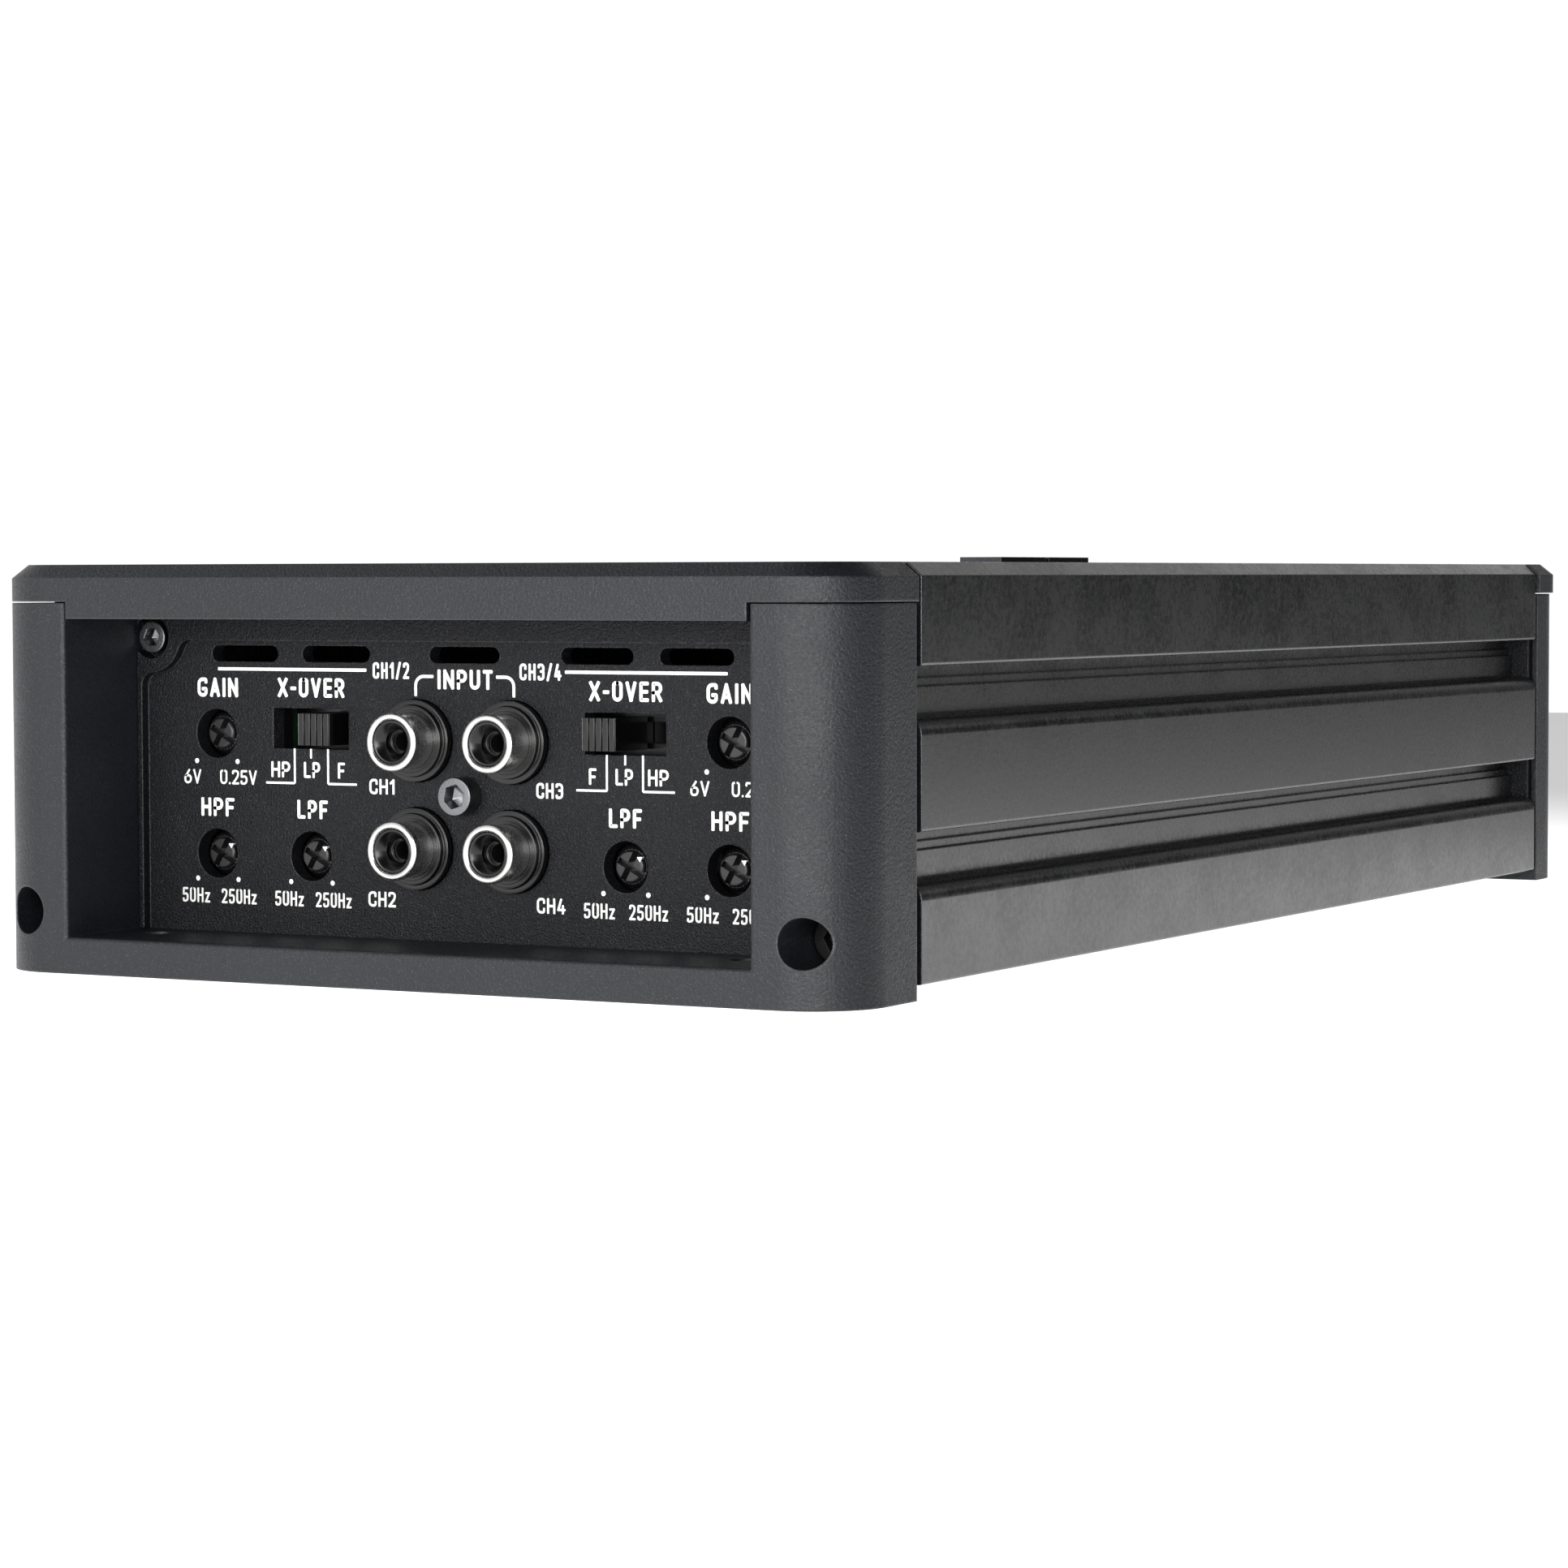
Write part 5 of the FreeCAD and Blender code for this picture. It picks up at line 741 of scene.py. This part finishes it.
# Strokes of each letter on a unit square; a third number rounds the corner.
LETTERS = {
    "A": (1.05, [[(0, 0), (0.5, 1)], [(0.5, 1), (1, 0)], [(0.2, 0.28), (0.8, 0.28)]]),
    "C": (1, [[(1, 0.74), (1, 1, 1), (0, 1, 1), (0, 0, 1), (1, 0, 1), (1, 0.26)]]),
    "E": (0.85, [[(1, 1), (0, 1), (0, 0), (1, 0)], [(0, 0.5), (0.9, 0.5)]]),
    "F": (0.85, [[(1, 1), (0, 1), (0, 0)], [(0, 0.48), (0.85, 0.48)]]),
    "G": (1.05, [[(1, 0.84), (1, 1, 1), (0, 1, 1), (0, 0, 1), (1, 0, 1), (1, 0.4), (0.6, 0.4)]]),
    "H": (1, [[(0, 0), (0, 1)], [(1, 0), (1, 1)], [(0, 0.5), (1, 0.5)]]),
    "I": (0, [[(0, 0), (0, 1)]]),
    "L": (0.8, [[(0, 1), (0, 0), (1, 0)]]),
    "N": (1.05, [[(0, 0), (0, 1)], [(0, 1), (1, 0)], [(1, 0), (1, 1)]]),
    "O": (1, [[(0.5, 1), (0, 1, 1), (0, 0, 1), (1, 0, 1), (1, 1, 1), (0.5, 1)]]),
    "P": (0.95, [[(0, 0), (0, 1), (1, 1, 1), (1, 0.42, 1), (0, 0.42)]]),
    "R": (0.98, [[(0, 0), (0, 1), (1, 1, 1), (1, 0.45, 1), (0, 0.45)],
                 [(0.5, 0.45), (1, 0)]]),
    "T": (0.9, [[(0, 1), (1, 1)], [(0.5, 1), (0.5, 0)]]),
    "U": (1, [[(0, 1), (0, 0, 1), (1, 0, 1), (1, 1)]]),
    "V": (1.05, [[(0, 1), (0.5, 0)], [(0.5, 0), (1, 1)]]),
    "X": (1.05, [[(0, 0), (1, 1)], [(0, 1), (1, 0)]]),
    "z": (0.75, [[(0, 0.66), (1, 0.66)], [(1, 0.66), (0, 0)], [(0, 0), (1, 0)]]),
    "0": (0.95, [[(0.5, 1), (0, 1, 1), (0, 0, 1), (1, 0, 1), (1, 1, 1), (0.5, 1)]]),
    "1": (0.45, [[(0, 0.78), (1, 1)], [(1, 1), (1, 0)]]),
    "2": (0.9, [[(0, 0.82), (0, 1, 1), (1, 1, 1), (1, 0.6, 1), (0, 0)], [(0, 0), (1, 0)]]),
    "3": (0.95, [[(0, 0.86), (0, 1, 1), (1, 1, 1), (1, 0.54, 1), (0.5, 0.54)],
                 [(0.5, 0.54), (1, 0.54, 1), (1, 0, 1), (0, 0, 1), (0, 0.14)]]),
    "4": (1, [[(0.45, 1), (0, 0.24)], [(0, 0.24), (1, 0.24)], [(0.74, 0.52), (0.74, 0)]]),
    "5": (0.9, [[(0.95, 1), (0.06, 1), (0, 0.54), (1, 0.6, 1), (1, 0, 1), (0, 0, 1),
                 (0, 0.16)]]),
    "6": (0.95, [[(0.7, 1), (0, 0.42), (0, 0, 1), (1, 0, 1), (1, 0.58, 1), (0.12, 0.56)]]),
    "/": (0.7, [[(0, -0.05), (1, 1.05)]]),
    "-": (0.45, [[(0, 0.45), (1, 0.45)]]),
    ".": (0, [[(0, 0), (0, 0.01)]]),
}


def rounded_path(corners, most):
    """Path through the corners, an arc in place of each corner marked to be rounded.

    Each arc is the quarter of a smooth blend: start (1 - t)^2 + 2 corner t (1 - t) + end t^2.
    """
    corners = [tuple(corner) for corner in corners]
    flat = np.array([corner[:2] for corner in corners])
    path = [flat[:1]]
    for index in range(1, len(flat) - 1):
        before, here, after = flat[index - 1:index + 2]
        spans = [np.linalg.norm(before - here), np.linalg.norm(after - here)]
        reach = min(most * (1.0 if len(corners[index]) > 2 else 0.12), 0.5 * min(spans))
        start = here + (before - here) * reach / spans[0]
        end = here + (after - here) * reach / spans[1]
        t = np.linspace(0, 1, 7)[:, None]
        weight = 0.7
        blend = (start * (1 - t) ** 2 + 2 * weight * here * t * (1 - t) + end * t ** 2)
        path.append(blend / ((1 - t) ** 2 + 2 * weight * t * (1 - t) + t ** 2))
    path.append(flat[-1:])
    path = np.vstack(path)
    apart = np.linalg.norm(np.diff(path, axis=0), axis=1) > 1e-7
    return path[np.concatenate([[True], apart])]


def stroke(path, width, thick, square=3.5):
    """Ink line along a path: a flat strip whose ends close as a rounded square.

    Across the path the strip reaches half the width; at each end the reach follows
    (1 - t^n)^(1/n), with n how square the end is.
    """
    half = width / 2
    sunk = 0.01 * MM
    steps = np.diff(path, axis=0)
    way = steps / np.linalg.norm(steps, axis=1)[:, None]
    ahead = np.vstack([way[:1], way])
    behind = np.vstack([way, way[-1:]])
    mean = ahead + behind
    mean /= np.linalg.norm(mean, axis=1)[:, None]
    widen = half / np.clip((mean * behind).sum(1), 0.5, 1)
    t = np.array([1, 0.97, 0.9, 0.75, 0.45])
    taper = (1 - t ** square) ** (1 / square)
    points = np.vstack([path[0] - np.outer(t, way[0]) * half, path,
                        path[-1] + np.outer(t[::-1], way[-1]) * half])
    reach = np.concatenate([taper * half, widen, taper[::-1] * half])
    facing = np.vstack([np.tile(way[0], (5, 1)), mean, np.tile(way[-1], (5, 1))])
    across = np.stack([-facing[:, 1], facing[:, 0]], -1) * reach[:, None]
    left, right = points + across, points - across
    corners = []
    for edge, along in ((left, -thick), (right, -thick), (right, sunk), (left, sunk)):
        corners.append(np.column_stack([edge[:, 0], np.full(len(edge), along), edge[:, 1]]))
    return skin(np.stack(corners, 1), wrap_columns=True)


def words(text, left, right, bottom, top, weight):
    """Strokes of a word that fills a box: letters share its width by their own widths."""
    high = top - bottom
    ink = weight * high
    gap = 0.9 * ink
    widths = np.array([LETTERS[letter][0] for letter in text])
    room = right - left - ink * len(text) - gap * (len(text) - 1)
    scale = room / widths.sum()
    start = left
    for letter, width in zip(text, widths):
        span = width * scale
        for run in LETTERS[letter][1]:
            corners = [(start + ink / 2 + corner[0] * span,
                        bottom + ink / 2 + corner[1] * (high - ink), *corner[2:])
                       for corner in run]
            yield rounded_path(corners, 0.5 * span), ink
        start += span + ink + gap


# Words on the input panel by the weight of their strokes, a share of the letters' height:
# text, then left, right, bottom and top in mm from the middle.
LEGENDS = {
    0.185: (
        ("GAIN", -46.2, -39.0, 39.5, 42.3), ("X-OVER", -31.95, -20.4, 39.6, 42.4),
        ("INPUT", -4.5, 4.7, 41.0, 43.8), ("X-OVER", 20.5, 32.2, 39.6, 42.4),
        ("GAIN", 39.2, 46.4, 39.5, 42.3), ("HPF", -45.7, -39.8, 22.1, 24.8),
        ("LPF", -28.7, -23.4, 22.1, 24.8), ("LPF", 23.6, 28.9, 22.1, 24.8),
        ("HPF", 39.9, 45.8, 22.1, 24.8),
    ),
    0.16: (
        ("CH1", -16.2, -11.9, 25.9, 28.1), ("CH3", 11.8, 16.2, 25.9, 28.1),
        ("CH2", -16.5, -11.8, 9.8, 12.0), ("CH4", 11.8, 16.5, 9.8, 12.0),
        ("CH1/2", -15.5, -9.3, 42.4, 44.75), ("CH3/4", 9.15, 16.0, 42.4, 44.75),
        ("HP", -33.2, -29.9, 28.0, 30.3), ("LP", -27.5, -24.7, 28.0, 30.3),
        ("F", -21.6, -20.4, 28.0, 30.3), ("F", 20.4, 21.6, 28.0, 30.3),
        ("LP", 24.7, 27.5, 28.0, 30.3), ("HP", 29.9, 33.2, 28.0, 30.3),
    ),
    0.145: (
        ("6V", -48.7, -45.7, 26.8, 28.9), ("0.25V", -42.3, -35.8, 26.8, 28.9),
        ("6V", 36.6, 39.6, 26.8, 28.9), ("0.25V", 43.1, 49.6, 26.8, 28.9),
        ("50Hz", -49.2, -44.3, 9.4, 11.55), ("250Hz", -42.2, -36.0, 9.4, 11.55),
        ("50Hz", -32.7, -27.7, 9.4, 11.55), ("250Hz", -25.6, -19.4, 9.4, 11.55),
        ("50Hz", 19.5, 24.5, 9.4, 11.55), ("250Hz", 26.8, 33.0, 9.4, 11.55),
        ("50Hz", 36.0, 41.0, 9.4, 11.55), ("250Hz", 43.2, 49.4, 9.4, 11.55),
    ),
}

# Plain lines: width in mm, then the corners.
RULES = (
    (0.46, ((-42.3, 43.6), (-16.8, 43.6))), (0.46, ((16.8, 43.6), (42.3, 43.6))),
    (0.45, ((-8.2, 40.2), (-8.2, 42.8, 1), (-5.4, 42.8))),
    (0.45, ((8.2, 40.2), (8.2, 42.8, 1), (5.5, 42.8))),
    (0.32, ((-34.0, 27.2), (-29.1, 27.2), (-29.1, 32.05))),
    (0.32, ((-23.3, 32.05), (-23.3, 27.2), (-18.5, 27.2))),
    (0.32, ((-26.25, 30.95), (-26.25, 32.05))),
    (0.32, ((18.5, 27.2), (23.3, 27.2), (23.3, 32.05))),
    (0.32, ((29.1, 32.05), (29.1, 27.2), (34.0, 27.2))),
    (0.32, ((26.25, 30.95), (26.25, 32.05))),
)

# Dots beside the knobs: across and up in mm.
DOTS = tuple((knob + offset, up) for knob, up in (
    (-42.8, 30.14), (42.8, 30.14), (-42.8, 12.94), (-26.27, 12.94), (26.27, 12.94),
    (42.8, 12.94)) for offset in (-3.61, 3.61))


class AMP_OT_legends(bpy.types.Operator):
    """Print the legends of the input panel"""

    bl_idname = "amplifier.legends"
    bl_label = "Legends"

    def execute(self, context):
        thick = context.scene.amplifier_fittings.ink_thickness
        # Strokes that cross differ a little in thickness, so that no two faces coincide.
        levels, step = 5, 0.0015 * MM
        runs = []
        for weight, legends in LEGENDS.items():
            for text, *box in legends:
                runs += words(text, *(edge * MM for edge in box), weight)
        for width, corners in RULES:
            scaled = [(corner[0] * MM, corner[1] * MM, *corner[2:]) for corner in corners]
            runs.append((rounded_path(scaled, 1.6 * MM), width * MM))
        strips = [stroke(path, width, thick + (index % levels) * step)
                  for index, (path, width) in enumerate(runs)]
        for across, up in DOTS:
            dot = np.array([(across, up - 0.005), (across, up + 0.005)]) * MM
            strips.append(stroke(dot, 0.72 * MM, thick, square=2.0))
        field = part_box("front_panel")[0].y + PANEL_BORDER
        piece("panel_legends", moved(joined(strips), (0, field, 0)), surface("screen_ink"))
        return {"FINISHED"}


# Stage

# Each light's name, place, point that it faces, width and height, and its power setting.
LIGHTS = (
    ("key", (0.07, -1.15, 0.17), (0.0, -0.14, 0.03), (1.0, 0.45), "key_power"),
    ("strip", (0.74, -0.96, 0.17), (0.0, -0.14, 0.03), (0.3, 0.5), "strip_power"),
    ("rim", (0.9, 1.1, 0.7), (0.0, 0.0, 0.03), (0.3, 0.3), "side_power"),
)


class AMP_OT_stage(bpy.types.Operator):
    """Set the camera, the lights and the pale floor"""

    bl_idname = "amplifier.stage"
    bl_label = "Stage"

    def execute(self, context):
        scene = context.scene
        settings = scene.amplifier_stage
        scene.view_settings.view_transform = "Standard"
        self.camera(scene, settings)
        self.floor(scene, settings)
        self.room(scene, settings)
        for name, place, target, size, power in LIGHTS:
            self.soft_light(name, place, target, size, getattr(settings, power))
        return {"FINISHED"}

    def camera(self, scene, settings):
        """Camera from its place, turn, dip and roll: its axes are the columns of a matrix."""
        data = bpy.data.cameras.new("camera")
        data.lens = settings.lens
        data.sensor_width = 36
        data.clip_start = 0.01
        camera = bpy.data.objects.new("camera", data)
        scene.collection.objects.link(camera)
        turn, dip, roll = settings.turn, settings.dip, settings.roll
        back = Vector((math.sin(turn) * math.cos(dip), -math.cos(turn) * math.cos(dip),
                       math.sin(dip)))
        level = Vector((math.cos(turn), math.sin(turn), 0))
        rise = back.cross(level)
        right = level * math.cos(roll) + rise * math.sin(roll)
        up = rise * math.cos(roll) - level * math.sin(roll)
        pose = Matrix((right, up, back)).transposed().to_4x4()
        pose.translation = settings.camera
        camera.matrix_world = pose
        scene.camera = camera

    def floor(self, scene, settings):
        """Round table of pale paper, lit through from below and fading towards its far side."""
        near, far, bright, dim = 0.12, 0.4, 1.15, 0.25
        material, tree, shader = blank("paper_floor")
        place = add(tree, "ShaderNodeTexCoord").outputs["Object"]
        across = add(tree, "ShaderNodeVectorMath", {0: place, 1: (0.5, 0.87, 0)},
                     operation="DOT_PRODUCT").outputs["Value"]
        glow = add(tree, "ShaderNodeMapRange", {0: across, 1: near, 2: far, 3: bright, 4: dim},
                   interpolation_type="SMOOTHSTEP").outputs[0]
        tooth = add(tree, "ShaderNodeTexNoise", {"Vector": place, "Scale": 900.0}).outputs[0]
        bump = add(tree, "ShaderNodeBump", {"Height": tooth, "Distance": 0.02 * MM}).outputs[0]
        shader.inputs["Base Color"].default_value = settings.floor
        shader.inputs["Roughness"].default_value = 0.75
        shader.inputs["Emission Color"].default_value = (1, 1, 1, 1)
        tree.links.new(glow, shader.inputs["Emission Strength"])
        tree.links.new(bump, shader.inputs["Normal"])
        angle = np.linspace(0, 2 * math.pi, 96, endpoint=False)
        reach = np.array([0, 0.3, 0.6, 1.1])[:, None]
        points = np.stack([reach * np.cos(angle), reach * np.sin(angle), reach * angle * 0], -1)
        flat, quads = skin(points, wrap_columns=True)
        mesh = bpy.data.meshes.new("floor")
        mesh.from_pydata(flat.tolist(), [], quads[:, ::-1].tolist())
        mesh.materials.append(material)
        floor = bpy.data.objects.new("floor", mesh)
        scene.collection.objects.link(floor)

    def room(self, scene, settings):
        """Dark room with a white backdrop behind the amplifier and a screen at its front left.

        Each fills the directions that lie near its own: brightness is a smooth step of the
        dot product of the two.
        """
        world = bpy.data.worlds.new("room")
        world.use_nodes = True
        scene.world = world
        tree = world.node_tree
        tree.nodes.clear()
        place = add(tree, "ShaderNodeTexCoord").outputs["Generated"]
        backdrop = (-math.sin(settings.turn), math.cos(settings.turn), 0)
        screen = (-0.84, -0.48, 0.26)
        shade = settings.sky
        for way, start, full, bright in ((backdrop, 0.7, 0.92, 1.0),
                                         (screen, 0.35, 0.8, settings.fill)):
            facing = add(tree, "ShaderNodeVectorMath", {0: place, 1: way},
                         operation="DOT_PRODUCT").outputs["Value"]
            glow = add(tree, "ShaderNodeMapRange", {0: facing, 1: start, 2: full, 4: bright},
                       interpolation_type="SMOOTHSTEP").outputs[0]
            shade = add(tree, "ShaderNodeMath", {0: shade, 1: glow},
                        operation="ADD").outputs[0]
        wash = add(tree, "ShaderNodeBackground", {"Color": (1, 1, 1, 1), "Strength": shade})
        add(tree, "ShaderNodeOutputWorld", {"Surface": wash.outputs[0]})

    def soft_light(self, name, place, target, size, power):
        """Rectangular area light that faces a target."""
        data = bpy.data.lights.new(name, "AREA")
        data.shape = "RECTANGLE"
        data.size, data.size_y = size
        data.energy = power
        light = bpy.data.objects.new(name, data)
        light.location = place
        way = Vector(target) - Vector(place)
        light.rotation_euler = way.to_track_quat("-Z", "Y").to_euler()
        bpy.context.scene.collection.objects.link(light)


class AMP_PT_panel(bpy.types.Panel):
    """Buttons for each step, in the 3D view's sidebar"""

    bl_idname = "AMP_PT_panel"
    bl_label = "Amplifier"
    bl_space_type = "VIEW_3D"
    bl_region_type = "UI"
    bl_category = "Amplifier"

    def draw(self, context):
        column = self.layout.column(align=True)
        for step in STEPS:
            column.operator(step.bl_idname)
        for group in ("amplifier_finish", "amplifier_fittings", "amplifier_stage"):
            settings = getattr(context.scene, group)
            column = self.layout.column()
            for name in settings.__annotations__:
                column.prop(settings, name)


STEPS = (AMP_OT_stage, AMP_OT_finishes, AMP_OT_jacks, AMP_OT_screws, AMP_OT_knobs,
         AMP_OT_sliders, AMP_OT_legends)
SETTINGS = {"amplifier_finish": FinishSettings, "amplifier_fittings": FittingSettings,
            "amplifier_stage": StageSettings}


def register():
    for thing in (*SETTINGS.values(), *STEPS, AMP_PT_panel):
        bpy.utils.register_class(thing)
    for name, group in SETTINGS.items():
        setattr(bpy.types.Scene, name, PointerProperty(type=group))


def unregister():
    for name in SETTINGS:
        delattr(bpy.types.Scene, name)
    for thing in (AMP_PT_panel, *reversed(STEPS), *reversed(list(SETTINGS.values()))):
        bpy.utils.unregister_class(thing)


def main():
    """Build everything in order."""
    register()
    for step in STEPS:
        family, name = step.bl_idname.split(".")
        getattr(getattr(bpy.ops, family), name)()


if __name__ == "__main__":
    main()
